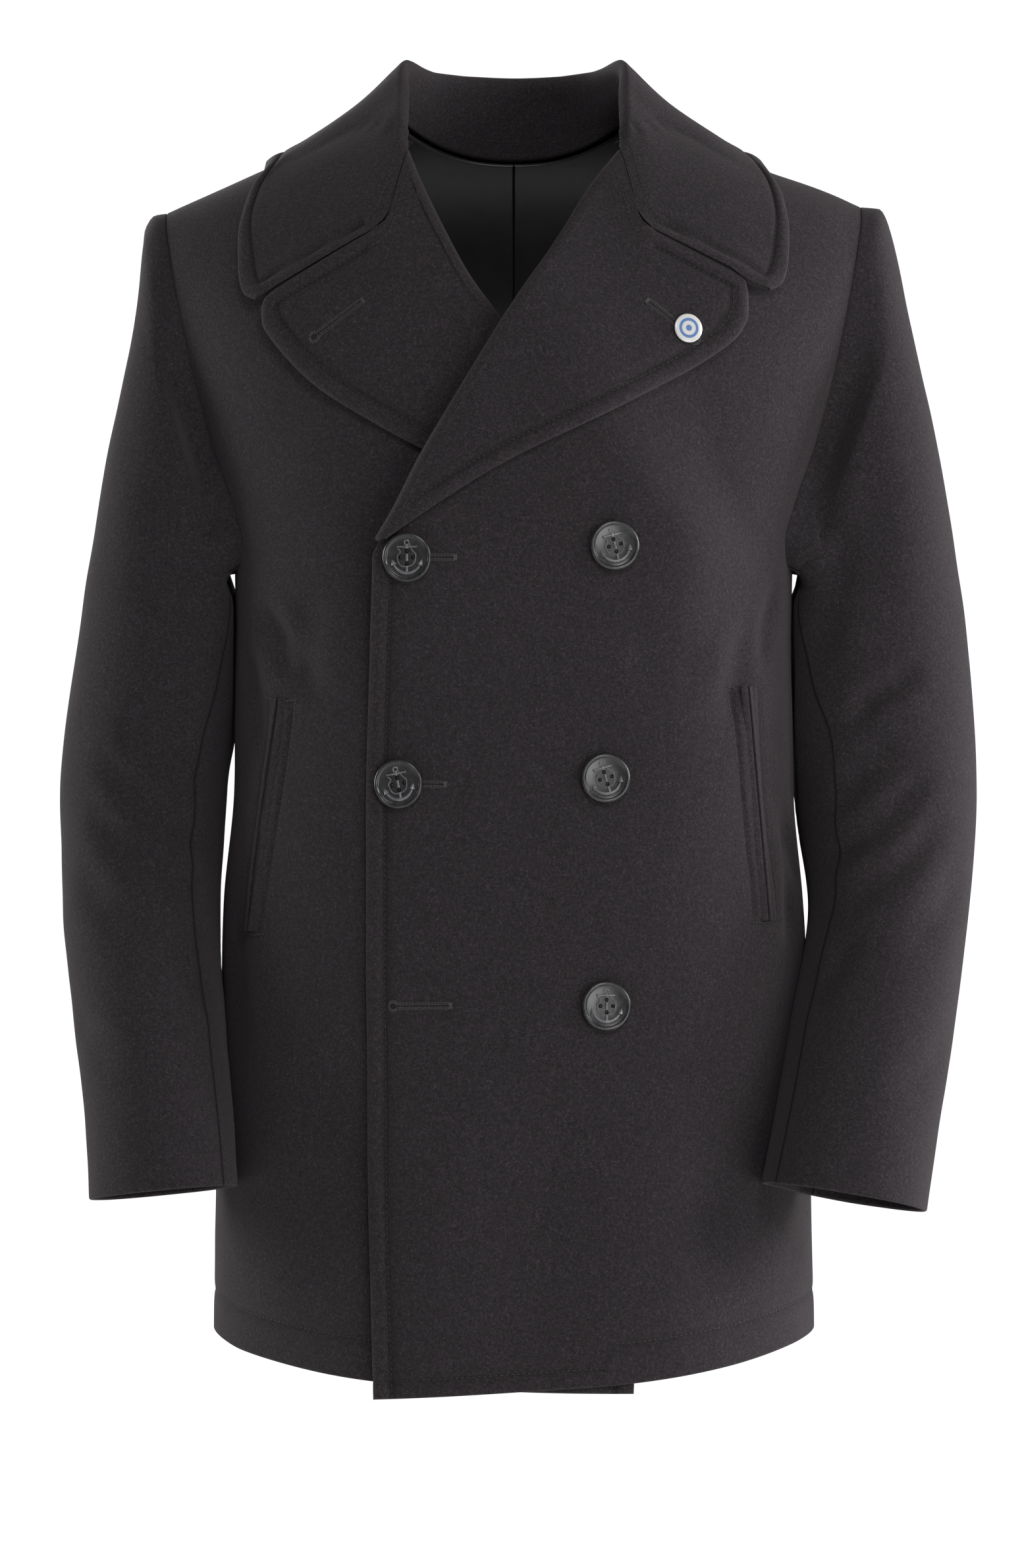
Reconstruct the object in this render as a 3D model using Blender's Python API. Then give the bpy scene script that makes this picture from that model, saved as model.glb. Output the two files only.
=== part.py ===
"""A double-breasted pea coat, worn and buttoned, with no wearer inside it.

Metres, +Z up. The coat faces -Y and the wearer's left side is +X. The origin is where the
coat hangs on its wearer: midway between the two neck points, at the shoulder seams' height.

The body is one smooth surface with two coordinates. Girth is an angle: 0 at the centre front,
90 degrees at the side and 180 at the centre back, negative on the wearer's right. Reach is the
distance down the cloth from the shoulder ridge. Each body panel is a patch between four seams
in those coordinates, given a wall. Lapels, welts and buttons are placed by their front view,
as (x, z), and stand on the panel that carries them.
"""

from math import pi

import bmesh
import bpy
import numpy as np
from mathutils import Matrix, Vector
from mathutils.bvhtree import BVHTree

# ---- driving dimensions
WALL = 0.003  # melton cloth with its lining
SEAM_GAP = 0.0004  # between two pieces that are sewn together
LAYER_GAP = 0.001  # between two pieces that lie on each other
NECK_HALF_WIDTH = 0.078  # centre to neck point
SHOULDER_HALF_WIDTH = 0.221  # centre to the top of the armhole seam
SHOULDER_SLOPE = 0.44  # fall of the shoulder seam for each metre outwards
ARMPIT_DROP = 0.290
BUTTON_DIAMETER = 0.030
BUTTON_THICKNESS = 0.0032
PIN_DIAMETER = 0.018
PIN_THICKNESS = 0.0016
SHOULDER_RAISE = 0.004  # how much higher the wearer holds the left shoulder than the right

FRONT_CROWN = 0.18  # how far below the ridge the chest is reached
BACK_CROWN = 0.14  # how far below the ridge the shoulder blades are reached
SLOPE_FADE = 0.30  # how far down the shoulder slope is felt

# The body's oval sections, by their distance below the shoulder ridge. Squareness is the oval's
# exponent: 2 is an ellipse, more is fuller at the corners.
BODY_COLUMNS = ("drop", "half_width", "front", "back", "squareness")
BODY = (
    (0.000, 0.250, 0.130, 0.112, 2.30),
    (0.050, 0.241, 0.132, 0.115, 2.30),
    (0.100, 0.228, 0.134, 0.118, 2.30),
    (0.150, 0.214, 0.135, 0.119, 2.31),
    (0.210, 0.197, 0.136, 0.118, 2.36),
    (0.290, 0.177, 0.138, 0.114, 2.56),
    (0.350, 0.1765, 0.136, 0.109, 2.62),
    (0.430, 0.1780, 0.134, 0.105, 2.56),
    (0.500, 0.1840, 0.136, 0.107, 2.46),
    (0.620, 0.1880, 0.141, 0.115, 2.38),
    (0.800, 0.1915, 0.150, 0.127, 2.34),
)

# The armhole seam: clock 0 is the shoulder point, 180 the armpit. The front half is given by
# its x, the back half by its girth in degrees from the centre back.
ARMHOLE_COLUMNS = ("clock", "front_x", "back_girth")
ARMHOLE = (
    (0, 0.2210, 60.2),
    (25, 0.2195, 62.5),
    (50, 0.2145, 65.3),
    (75, 0.2060, 68.0),
    (107, 0.1905, 70.5),
    (130, 0.1765, 72.0),
    (149, 0.1700, 75.0),
    (166, 0.1715, 80.5),
    (180, 0.1770, 90.0),
)

# Hem height by x, one table for each front, and its height at the side and centre back.
HEM_COLUMNS = ("x", "z")
LEFT_HEM = ((-0.09, -0.8000), (0.00, -0.7945), (0.07, -0.7900), (0.135, -0.7820), (0.19, -0.7710))
RIGHT_HEM = ((-0.075, -0.7965), (0.00, -0.7945), (0.09, -0.7890), (0.17, -0.7770), (0.19, -0.7710))
SIDE_HEM = -0.771
BACK_HEM = -0.768

# Front edges below the break point, from the hem up. Everything about the wearer's right front
# is written as it looks once mirrored, so both read alike.
EDGE_COLUMNS = ("height", "x")
LEFT_EDGE = ((-0.800, -0.0855), (-0.640, -0.0895), (-0.450, -0.0905), (-0.285, -0.0860))
RIGHT_EDGE = ((-0.800, -0.0730), (-0.640, -0.0790), (-0.450, -0.0840), (-0.285, -0.0860))

# The roll lines from the collar down to the break point, seen from the front.
LEFT_ROLL = ((0.0655, -0.0310), (0.0492, -0.0537), (0.0286, -0.0874), (-0.0067, -0.1430),
             (-0.0539, -0.2209), (-0.0747, -0.2610), (-0.0845, -0.2775))
RIGHT_ROLL = ((0.0655, -0.0310), (0.0533, -0.0626), (0.0415, -0.0874), (0.0274, -0.1144),
              (0.0066, -0.1430), (-0.0440, -0.2160), (-0.0845, -0.2775))

# Lapel outlines: along the collar from the roll line to the tip, then down to the break point.
LEFT_LAPEL = {
    "roll": LEFT_ROLL,
    "top": ((0.0655, -0.0310), (0.0692, -0.0438), (0.0728, -0.0595), (0.0768, -0.0755), (0.0830, -0.0835),
            (0.1020, -0.0940), (0.1205, -0.1035), (0.1375, -0.1120), (0.1425, -0.1165)),
    "outer": ((0.1425, -0.1165), (0.1441, -0.1270), (0.1440, -0.1385), (0.1405, -0.1475), (0.1342, -0.1550),
              (0.0703, -0.1938), (-0.0096, -0.2335), (-0.0575, -0.2637), (-0.0775, -0.2775)),
    "tip_lift": 0.004,
}
RIGHT_LAPEL = {
    "roll": RIGHT_ROLL,
    "top": ((0.0655, -0.0310), (0.0692, -0.0438), (0.0728, -0.0595), (0.0768, -0.0755), (0.0838, -0.0838),
            (0.1020, -0.0948), (0.1225, -0.1072), (0.1450, -0.1206), (0.1530, -0.1275)),
    "outer": ((0.1530, -0.1275), (0.1552, -0.1345), (0.1547, -0.1430), (0.1495, -0.1525), (0.1221, -0.1821),
              (0.0888, -0.2038), (0.0567, -0.2215), (-0.0096, -0.2500), (-0.0775, -0.2775)),
    "tip_lift": 0.006,
}

# The facing wraps the front's edge at the roll line: distance from that line towards the
# lapel, then height over the front, of the facing's outer and of its inner skin.
FOLD_COLUMNS = ("out", "height", "inner_out", "inner_height")
FOLD = (
    (0.0254, -0.0072, 0.0254, -0.0046),
    (0.0134, -0.0072, 0.0134, -0.0046),
    (0.0064, -0.0072, 0.0064, -0.0046),
    (0.0018, -0.0052, 0.0047, -0.0036),
    (0.0000, 0.0000, 0.0042, -0.0012),
    (0.0018, 0.0052, 0.0047, 0.0008),
    (0.0064, 0.0070, 0.0068, 0.0018),
)
TUCK = 0.0069  # from the roll line to the front's edge inside the fold
LEAF_TOP = 0.0068  # height of the lapel's face over the front
LEAF_BOTTOM = 0.0022
FOLD_TAPER = (0.45, -0.250, -0.2775)  # the fold narrows to this share between these heights

# Collar, from the centre back (along 0) by the side of the neck to the roll line (along 1).
# Each section runs from the collar's inside, over its turn, to the outer edge.
COLLAR_SECTIONS = (
    (0.00, ((0, 0.0640, 0.0150), (0, 0.0665, 0.0290), (0, 0.0725, 0.0345), (0, 0.0815, 0.0290),
            (0, 0.0880, 0.0020), (0, 0.0970, -0.0350), (0, 0.1080, -0.0700))),
    (0.28, ((0.0435, 0.0475, 0.0160), (0.0445, 0.0480, 0.0300), (0.0490, 0.0520, 0.0355),
            (0.0565, 0.0580, 0.0300), (0.0690, 0.0665, 0.0030), (0.0850, 0.0780, -0.0290),
            (0.1010, 0.0900, -0.0570))),
    (0.55, ((0.0705, 0.0020, 0.0160), (0.0660, 0.0020, 0.0305), (0.0695, 0.0030, 0.0360),
            (0.0765, 0.0040, 0.0300), (0.0960, 0.0060, 0.0095), (0.1210, 0.0100, -0.0110),
            (0.1490, 0.0140, -0.0255))),
    (0.78, ((0.0700, -0.0350, -0.0020), (0.0660, -0.0330, 0.0080), (0.0690, -0.0350, 0.0120),
            (0.0765, -0.0390, 0.0070), (0.1010, -0.0440, -0.0120), (0.1320, -0.0490, -0.0310),
            (0.1635, -0.0520, -0.0530))),
    (0.90, ((0.0690, -0.0560, -0.0200), (0.0662, -0.0560, -0.0110), (0.0682, -0.0590, -0.0080),
            (0.0745, -0.0640, -0.0140), (0.0960, -0.0700, -0.0400), (0.1300, -0.0760, -0.0620),
            (0.1695, -0.0700, -0.0860))),
    (0.96, ((0.0688, -0.0640, -0.0255), (0.0660, -0.0660, -0.0200), (0.0680, -0.0690, -0.0190),
            (0.0720, -0.0740, -0.0280), (0.0860, -0.0850, -0.0570), (0.1250, -0.0930, -0.0830),
            (0.1690, -0.0800, -0.1080))),
)
# The collar's front ends, from the roll line along the gorge seam to the notch and the tip: x,
# z and height over the front. The wearer's right tip hangs a little lower.
GORGE = ((0.0673, -0.0300, -0.0047), (0.0655, -0.0293, 0.0001), (0.0676, -0.0300, 0.0052),
         (0.0706, -0.0425, 0.0068), (0.0742, -0.0586, 0.0070), (0.0781, -0.0740, 0.0072))
LEFT_COLLAR_END = GORGE + (
    (0.0845, -0.0818, 0.0082), (0.0965, -0.0884, 0.0092), (0.1085, -0.0950, 0.0100),
    (0.1205, -0.1015, 0.0107), (0.1330, -0.1082, 0.0115), (0.1450, -0.1142, 0.0122),
    (0.1590, -0.1210, 0.0125),
)
RIGHT_COLLAR_END = GORGE + (
    (0.0850, -0.0820, 0.0082), (0.0965, -0.0890, 0.0092), (0.1085, -0.0963, 0.0100),
    (0.1205, -0.1036, 0.0107), (0.1330, -0.1112, 0.0118), (0.1450, -0.1184, 0.0126),
    (0.1600, -0.1275, 0.0132),
)
# The collar's outer edge as seen from the front, from the shoulder to the tips, which hang at
# different heights, with its height over the front.
COLLAR_EDGE_COLUMNS = ("along", "x", "z", "height")
LEFT_COLLAR_EDGE = ((0.66, 0.1620, -0.0390, 0.0075), (0.75, 0.1695, -0.0600, 0.0075),
                    (0.84, 0.1722, -0.0830, 0.0080), (0.92, 0.1708, -0.1020, 0.0100),
                    (0.97, 0.1670, -0.1165, 0.0120), (1.00, 0.1590, -0.1210, 0.0125))
RIGHT_COLLAR_EDGE = ((0.66, 0.1575, -0.0395, 0.0100), (0.75, 0.1680, -0.0620, 0.0075),
                     (0.84, 0.1722, -0.0870, 0.0080), (0.92, 0.1712, -0.1080, 0.0105),
                     (0.97, 0.1678, -0.1225, 0.0128), (1.00, 0.1600, -0.1275, 0.0132))
COLLAR_WALL = 0.0045
NECK_TURN = 0.36  # share of the back panels' top edge that is neckline
NECK_DEPTH = 0.080  # reach of the neckline at the centre back
NECK_SIDE = 0.55  # where along the collar the side of the neck is
# Where the collar's seam starts on a front, and the corner to which the front itself is cut,
# clear of the collar's fold, both as (x, z) in the front view.
COLLAR_START = (0.0674, -0.0375)
FRONT_CORNER = (0.0715, -0.0470)

# Sleeve rings from the cap to the cuff: the outer and the inner point seen from the front, then
# the ring's middle and half depth seen from the side, and how far its front is above its middle.
SLEEVE_COLUMNS = ("outer_x", "outer_z", "inner_x", "inner_z", "mid_y", "half_depth", "front_rise")
LEFT_SLEEVE = (
    (0.2493, -0.1250, 0.1805, -0.3000, 0.000, 0.0640, 0.000),
    (0.2721, -0.2250, 0.1720, -0.3220, 0.002, 0.0690, 0.000),
    (0.2891, -0.3400, 0.1680, -0.3620, 0.004, 0.0690, -0.002),
    (0.2956, -0.4300, 0.1760, -0.4240, 0.001, 0.0660, 0.002),
    (0.2868, -0.5100, 0.1858, -0.5000, -0.028, 0.0620, 0.008),
    (0.2745, -0.5850, 0.1728, -0.5700, -0.062, 0.0580, 0.010),
    (0.2618, -0.6420, 0.1620, -0.6250, -0.091, 0.0540, 0.009),
    (0.2535, -0.6885, 0.1520, -0.6705, -0.114, 0.0505, 0.007),
)
RIGHT_SLEEVE = (
    (0.2395, -0.1250, 0.1805, -0.3000, 0.000, 0.0640, 0.000),
    (0.2599, -0.2250, 0.1720, -0.3220, 0.002, 0.0690, 0.000),
    (0.2785, -0.3400, 0.1720, -0.3620, 0.004, 0.0680, -0.002),
    (0.2892, -0.4300, 0.1826, -0.4300, 0.003, 0.0650, 0.002),
    (0.2848, -0.5100, 0.1860, -0.5050, -0.022, 0.0600, 0.007),
    (0.2742, -0.5850, 0.1800, -0.5800, -0.050, 0.0560, 0.008),
    (0.2662, -0.6400, 0.1745, -0.6330, -0.073, 0.0520, 0.007),
    (0.2620, -0.6830, 0.1705, -0.6740, -0.094, 0.0480, 0.006),
)
# How the sleeve head leaves the armhole, by the same clock: outwards and downwards to its crown,
# then to where it turns down the arm.
SLEEVE_HEAD_COLUMNS = ("clock", "crown_out", "crown_down", "turn_out", "turn_down")
LEFT_SLEEVE_HEAD = ((0, 0.0120, 0.0006, 0.0180, 0.0110), (45, 0.0085, 0.0030, 0.0150, 0.0120),
                    (90, 0.0055, 0.0045, 0.0110, 0.0095), (135, 0.0038, 0.0025, 0.0075, 0.0050),
                    (180, 0.0024, 0.0002, 0.0042, 0.0005))
RIGHT_SLEEVE_HEAD = ((0, 0.0080, 0.0010, 0.0140, 0.0110), (45, 0.0065, 0.0032, 0.0125, 0.0115),
                     (90, 0.0050, 0.0045, 0.0100, 0.0090), (135, 0.0038, 0.0025, 0.0075, 0.0050),
                     (180, 0.0024, 0.0002, 0.0042, 0.0005))
# Clock of the sleeve's front seam at shares of its length. The other seam keeps one clock. Both
# leave the armhole at one of its even spans.
ARMHOLE_SPANS = 13  # of the front half and of the back half
SPAN = 180 / ARMHOLE_SPANS
SLEEVE_SEAM_COLUMNS = ("share", "clock")
LEFT_SLEEVE_SEAM = ((0.0, 11 * SPAN), (0.09, 150), (0.26, 133), (0.36, 124), (0.46, 129),
                    (0.675, 143), (1.0, 149))
RIGHT_SLEEVE_SEAM = ((0.0, 11 * SPAN), (0.09, 150), (0.26, 137), (0.36, 132), (0.50, 133),
                     (0.75, 142), (1.0, 148))
BACK_SLEEVE_SEAM = 360 - 8 * SPAN

# Buttons and the pin as (x, z) in the front view.
BUTTONS = {
    "button_upper_right": (-0.0645, -0.2887),
    "button_upper_left": (0.0609, -0.2815),
    "button_middle_right": (-0.0701, -0.4260),
    "button_middle_left": (0.0557, -0.4224),
    "button_lower_left": (0.0561, -0.5609),
}
PIN_PLACE = (0.1063, -0.1482)

# Pocket slit ends in the front view, mirrored for the right, and the welts on each side of it.
LEFT_POCKET = ((0.1430, -0.3655), (0.1565, -0.5105))
RIGHT_POCKET = ((0.1440, -0.3730), (0.1640, -0.5175))
WELT_WIDTH = 0.0055
WELT_THICKNESS = 0.0016
WELT_GAP = 0.0012

# ---- mesh density
FRONT_ACROSS = 15
BACK_ACROSS = (5, 8)  # spans along the neckline, then along the shoulder
# Spans up a front: to the break point, then along the armhole to the collar and to the neck.
HEM_TO_BREAK, BREAK_TO_COLLAR, COLLAR_TO_NECK = 12, 10, 3
LEAF_ACROSS = 9
LEAF_ALONG = 16
COLLAR_ALONG = 16
SLEEVE_TOP_AROUND = 11 + 8 + 1  # the sleeve's spans meet the armhole's
SLEEVE_UNDER_AROUND = 26 - 11 - 8 + 1
HEAD_RINGS = (0.0, 0.011, 0.022)  # the sleeve's first rings, as shares of its length
HEAD_END, SLEEVE_RINGS = 0.046, 17  # where its even rings begin, and how many there are
BUTTON_SEGMENTS = 20

CLOTH = ("melton", (0.022, 0.020, 0.021, 1.0), 0.92)
PLASTIC = ("button_plastic", (0.010, 0.010, 0.010, 1.0), 0.25)
ENAMEL = ("pin_enamel", (0.80, 0.80, 0.78, 1.0), 0.20)


# ---- tables and curves


def monotone(knots, values, at):
    """Smooth curve through the knots that never overshoots between them."""
    knots, values = np.asarray(knots, float), np.asarray(values, float)
    steps = np.diff(knots)
    slopes = np.diff(values) / steps
    tangents = np.empty_like(values)
    tangents[0], tangents[-1] = slopes[0], slopes[-1]
    before, after = slopes[:-1], slopes[1:]
    same_sign = before * after > 0
    total = np.where(same_sign, before + after, 1.0)
    tangents[1:-1] = np.where(same_sign, 2 * before * after / total, 0.0)
    at = np.clip(np.asarray(at, float), knots[0], knots[-1])
    i = np.clip(np.searchsorted(knots, at) - 1, 0, len(steps) - 1)
    t = (at - knots[i]) / steps[i]
    return (
        values[i] * (1 + 2 * t) * (1 - t) ** 2
        + values[i + 1] * t * t * (3 - 2 * t)
        + steps[i] * (tangents[i] * t * (1 - t) ** 2 - tangents[i + 1] * t * t * (1 - t))
    )


def column(table, columns, name, at):
    """One named column of a table, read smoothly at values of its first column."""
    return monotone([row[0] for row in table], [row[columns.index(name)] for row in table], at)


def along(points, shares):
    """A curve through points that never overshoots, read at shares of its length."""
    points = np.asarray(points, float)
    lengths = np.linalg.norm(np.diff(points, axis=0), axis=1)
    knots = np.concatenate([[0.0], np.cumsum(lengths)]) / lengths.sum()
    return np.stack([monotone(knots, points[:, k], shares) for k in range(points.shape[1])], axis=-1)


def smooth(knots, values, at):
    """A round curve through values at knots, which may overshoot a little between them."""
    knots, values, at = np.asarray(knots, float), np.asarray(values, float), np.asarray(at, float)
    tangents = np.gradient(values, knots, axis=0)
    i = np.clip(np.searchsorted(knots, at) - 1, 0, len(knots) - 2)
    span = (knots[i + 1] - knots[i]).reshape(-1, *[1] * (values.ndim - 1))
    t = ((at - knots[i]) / (knots[i + 1] - knots[i])).reshape(span.shape)
    return (
        values[i] * (1 + 2 * t) * (1 - t) ** 2
        + values[i + 1] * t * t * (3 - 2 * t)
        + span * (tangents[i] * t * (1 - t) ** 2 - tangents[i + 1] * t * t * (1 - t))
    )


def smoothstep(value, start, end):
    t = np.clip((value - start) / (end - start), 0, 1)
    return t * t * (3 - 2 * t)


def coons(first_row, last_row, first_column, last_column):
    """A patch of points between four curves that meet at its corners."""
    rows, columns = len(first_column), len(first_row)
    v = np.linspace(0, 1, rows)[:, None, None]
    u = np.linspace(0, 1, columns)[None, :, None]
    between_rows = (1 - v) * first_row[None] + v * last_row[None]
    between_columns = (1 - u) * first_column[:, None] + u * last_column[:, None]
    corners = (
        (1 - v) * ((1 - u) * first_row[0] + u * first_row[-1])
        + v * ((1 - u) * last_row[0] + u * last_row[-1])
    )
    return between_rows + between_columns - corners


# ---- the body surface


def drop_of(reach, crown):
    """Distance below the ridge after going that far down the cloth."""
    turn = np.clip(reach / crown, 0, pi / 2)
    return crown * (1 - np.cos(turn)) + np.maximum(reach - crown * pi / 2, 0)


def shoulder_fall(x, drop):
    slope = SHOULDER_SLOPE * np.maximum(np.abs(x) - NECK_HALF_WIDTH, 0)
    return slope * np.clip(1 - drop / SLOPE_FADE, 0, 1) ** 2


def half_width(drop):
    return column(BODY, BODY_COLUMNS, "half_width", drop)


def squareness(drop):
    return column(BODY, BODY_COLUMNS, "squareness", drop)


def surface(girth, reach):
    """The body's outer surface, without any lift."""
    girth, reach = np.broadcast_arrays(np.asarray(girth, float), np.asarray(reach, float))
    is_front = np.abs(girth) <= pi / 2
    crown = np.where(is_front, FRONT_CROWN, BACK_CROWN)
    drop = drop_of(reach, crown)
    rounding = np.sqrt(1 - np.clip(1 - drop / crown, 0, 1) ** 2)
    front = -column(BODY, BODY_COLUMNS, "front", drop)
    back = column(BODY, BODY_COLUMNS, "back", drop)
    power = 2 / squareness(drop)
    sideways = np.sign(np.sin(girth)) * np.abs(np.sin(girth)) ** power
    forwards = np.abs(np.cos(girth)) ** power
    x = half_width(drop) * sideways
    y = np.where(is_front, front, back) * rounding * forwards
    z = -drop - shoulder_fall(x, drop)
    return np.stack([x, y, z], axis=-1)


def surface_normal(girth, reach):
    step = 1e-4
    at_side = np.abs(np.abs(girth) - pi / 2) < 2 * step
    girth = np.where(at_side, np.sign(girth) * (pi / 2 - 2 * step), girth)
    down = surface(girth, reach + step) - surface(girth, np.maximum(reach - step, 0))
    round_ = surface(girth + step, reach) - surface(girth - step, reach)
    normal = np.cross(down, round_)
    return normal / np.linalg.norm(normal, axis=-1, keepdims=True)


def body_point(girth, reach, lift=0.0):
    return surface(girth, reach) + surface_normal(girth, reach) * np.asarray(lift)[..., None]


def reach_at(x, z, crown):
    """How far down the cloth a height is met, on the line of a given x."""
    x, z = np.broadcast_arrays(np.asarray(x, float), np.asarray(z, float))
    low, high = np.zeros_like(z), np.full_like(z, 1.2)
    for _ in range(40):
        middle = (low + high) / 2
        drop = drop_of(middle, crown)
        above = -drop - shoulder_fall(x, drop) > z
        low, high = np.where(above, middle, low), np.where(above, high, middle)
    return (low + high) / 2


def girth_at(x, drop):
    share = np.clip(np.abs(x) / half_width(drop), 0, 1)
    return np.sign(x) * np.arcsin(share ** (squareness(drop) / 2))


def front_coordinates(x, z):
    """Girth and reach of a point on the front, from where it is seen from the front."""
    reach = reach_at(x, z, FRONT_CROWN)
    return girth_at(x, drop_of(reach, FRONT_CROWN)), reach


def roll_line(table, z):
    """x of a roll line at a height; below the break it stays where it ended."""
    heights = [-row[1] for row in table]
    return np.interp(-np.asarray(z), heights, [row[0] for row in table])


def overlap_lift(x, z):
    """How far the left front stands over the body's surface. It lies on the right front, and
    between the break point and the crossing of the roll lines on the right lapel as well."""
    fade = 0.066 + 0.040 * smoothstep(z, -0.250, -0.150)
    covered = 1 - smoothstep((x + roll_line(RIGHT_ROLL, z) - 0.008) / fade, 0, 1)
    window = smoothstep(z, -0.400, -0.270)
    edge_flare = 0.0030 * smoothstep(-z, 0.50, 0.76) * (1 - smoothstep(x, -0.08, 0.02))
    return (WALL + LAYER_GAP + 0.0004 + 0.0106 * window) * covered + edge_flare


def lifted_coordinates(x, z, height, left):
    """Girth, reach and lift of a point at some height over a front that is seen at x and z."""
    x, z, height = np.broadcast_arrays(*(np.asarray(v, float) for v in (x, z, height)))
    base_x, base_z = x.copy(), z.copy()
    for _ in range(6):
        girth, reach = front_coordinates(base_x, base_z)
        lift = height + (overlap_lift(base_x, base_z) if left else 0.0)
        point = body_point(girth, reach, lift)
        base_x = base_x + x - point[..., 0]
        base_z = np.minimum(base_z + z - point[..., 2], 0)
    return girth, reach, lift


def on_front(x, z, height, left):
    return body_point(*lifted_coordinates(x, z, height, left))


# ---- solids


def material(finish):
    name, colour, roughness = finish
    made = bpy.data.materials.get(name) or bpy.data.materials.new(name)
    made.use_nodes = True
    shader = made.node_tree.nodes["Principled BSDF"]
    shader.inputs["Base Color"].default_value = colour
    shader.inputs["Roughness"].default_value = roughness
    shader.inputs["Metallic"].default_value = 0.0
    made.diffuse_color = colour
    return made


def add_object(name, mesh, finish):
    mesh.materials.append(material(finish))
    made = bpy.data.objects.new(name, mesh)
    bpy.context.scene.collection.objects.link(made)
    return made


def closed_wall(name, outer, inner, left=True, finish=CLOTH):
    """A closed solid between two skins, each a grid of points with the same rows and columns."""
    outer, inner = posed(outer, left), posed(inner, left)
    rows, columns = outer.shape[:2]
    index = np.arange(rows * columns).reshape(rows, columns)
    faces = []
    for r in range(rows - 1):
        for c in range(columns - 1):
            quad = (index[r, c], index[r, c + 1], index[r + 1, c + 1], index[r + 1, c])
            faces.append(quad)
            faces.append(tuple(i + rows * columns for i in reversed(quad)))
    rim = [*index[0, :], *index[1:, -1], *index[-1, -2::-1], *index[-2:0:-1, 0]]
    for a, b in zip(rim, rim[1:] + rim[:1]):
        faces.append((b, a, a + rows * columns, b + rows * columns))
    points = np.concatenate([outer.reshape(-1, 3), inner.reshape(-1, 3)])
    mesh = bpy.data.meshes.new(name)
    mesh.from_pydata(points.tolist(), [], [tuple(int(i) for i in f) for f in faces])
    solid = bmesh.new()
    solid.from_mesh(mesh)
    bmesh.ops.triangulate(solid, faces=solid.faces)
    bmesh.ops.recalc_face_normals(solid, faces=solid.faces)
    solid.to_mesh(mesh)
    solid.free()
    mesh.shade_smooth()
    mesh.set_sharp_from_angle(angle=0.8)
    return add_object(name, mesh, finish)


def posed(points, left):
    """The points on their own side of the coat, with the left shoulder raised."""
    x, z = points[..., 0], points[..., 2]
    if not left:
        return points * (-1, 1, 1)
    share = smoothstep(x, 0.150, 0.210) * (1 - smoothstep(-z, 0.09, 0.20))
    return points + SHOULDER_RAISE * share[..., None] * (0, 0, 1)


def grid_normals(points):
    normal = np.cross(np.gradient(points, axis=0), np.gradient(points, axis=1))
    return normal / np.linalg.norm(normal, axis=-1, keepdims=True)


def armhole_height(clock):
    top = -SHOULDER_SLOPE * (SHOULDER_HALF_WIDTH - NECK_HALF_WIDTH)
    return (top - ARMPIT_DROP) / 2 + (top + ARMPIT_DROP) / 2 * np.cos(np.radians(clock))


def body_sheet(left):
    """Nearest-point search over one half of the body's panels, drawn on the wearer's left."""
    reach = np.concatenate([np.linspace(0, 0.30, 50), np.linspace(0.31, 0.88, 40)])
    girth = np.radians(np.concatenate([np.linspace(-25, 89.99, 70), np.linspace(90.01, 205, 70)]))
    g, r = np.meshgrid(girth, reach)
    shell = surface(g, r)
    on_left_front = (g < pi / 2) & left
    lift = np.where(on_left_front, overlap_lift(shell[..., 0], shell[..., 2]), 0.0)
    points = body_point(g, r, lift)
    index = np.arange(g.size).reshape(g.shape)
    faces = np.stack([index[:-1, :-1], index[1:, :-1], index[1:, 1:], index[:-1, 1:]], axis=-1).reshape(-1, 4)
    points = points.reshape(-1, 3)
    x, _, z = points[faces].mean(axis=1).T
    clock = np.interp(-z, -armhole_height(np.arange(181)), np.arange(181))
    on_panel = (x < column(ARMHOLE, ARMHOLE_COLUMNS, "front_x", clock)) | (z < -ARMPIT_DROP)
    return BVHTree.FromPolygons(points.tolist(), faces[on_panel].tolist())


def kept_clear(points, tree, clearance):
    """Moves each point that is over or in the body until it stands off by its clearance."""
    moved = points.copy()
    for _ in range(2):
        for i in np.ndindex(points.shape[:-1]):
            nearest, normal, _, distance = tree.find_nearest(Vector(moved[i]))
            stands = (Vector(moved[i]) - nearest).dot(normal)
            if stands < clearance[i] and abs(stands) > 0.8 * distance:
                moved[i] += np.array(normal) * (clearance[i] - stands)
    return moved


# ---- body panels


def armhole_by_clock(clock, side):
    """Girth and reach of the armhole seam by the clock of its table."""
    z = armhole_height(clock)
    if side == "front":
        x = column(ARMHOLE, ARMHOLE_COLUMNS, "front_x", clock)
        reach = reach_at(x, z, FRONT_CROWN)
        return girth_at(x, drop_of(reach, FRONT_CROWN)), reach
    girth = np.radians(column(ARMHOLE, ARMHOLE_COLUMNS, "back_girth", clock))
    x = np.full_like(z, SHOULDER_HALF_WIDTH)
    for _ in range(20):
        reach = reach_at(x, z, BACK_CROWN)
        drop = drop_of(reach, BACK_CROWN)
        x = half_width(drop) * np.sin(girth) ** (2 / squareness(drop))
    return girth, reach


def armhole(turn, side):
    """Girth and reach of the armhole seam at even steps of its length: turn 0 is the shoulder
    point and 180 the armpit."""
    clock = np.linspace(0, 180, 181)
    girth, reach = armhole_by_clock(clock, side)
    points = surface(girth if side == "front" else pi - girth, reach)
    length = np.concatenate([[0.0], np.cumsum(np.linalg.norm(np.diff(points, axis=0), axis=1))])
    return armhole_by_clock(np.interp(turn, 180 * length / length[-1], clock), side)


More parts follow.
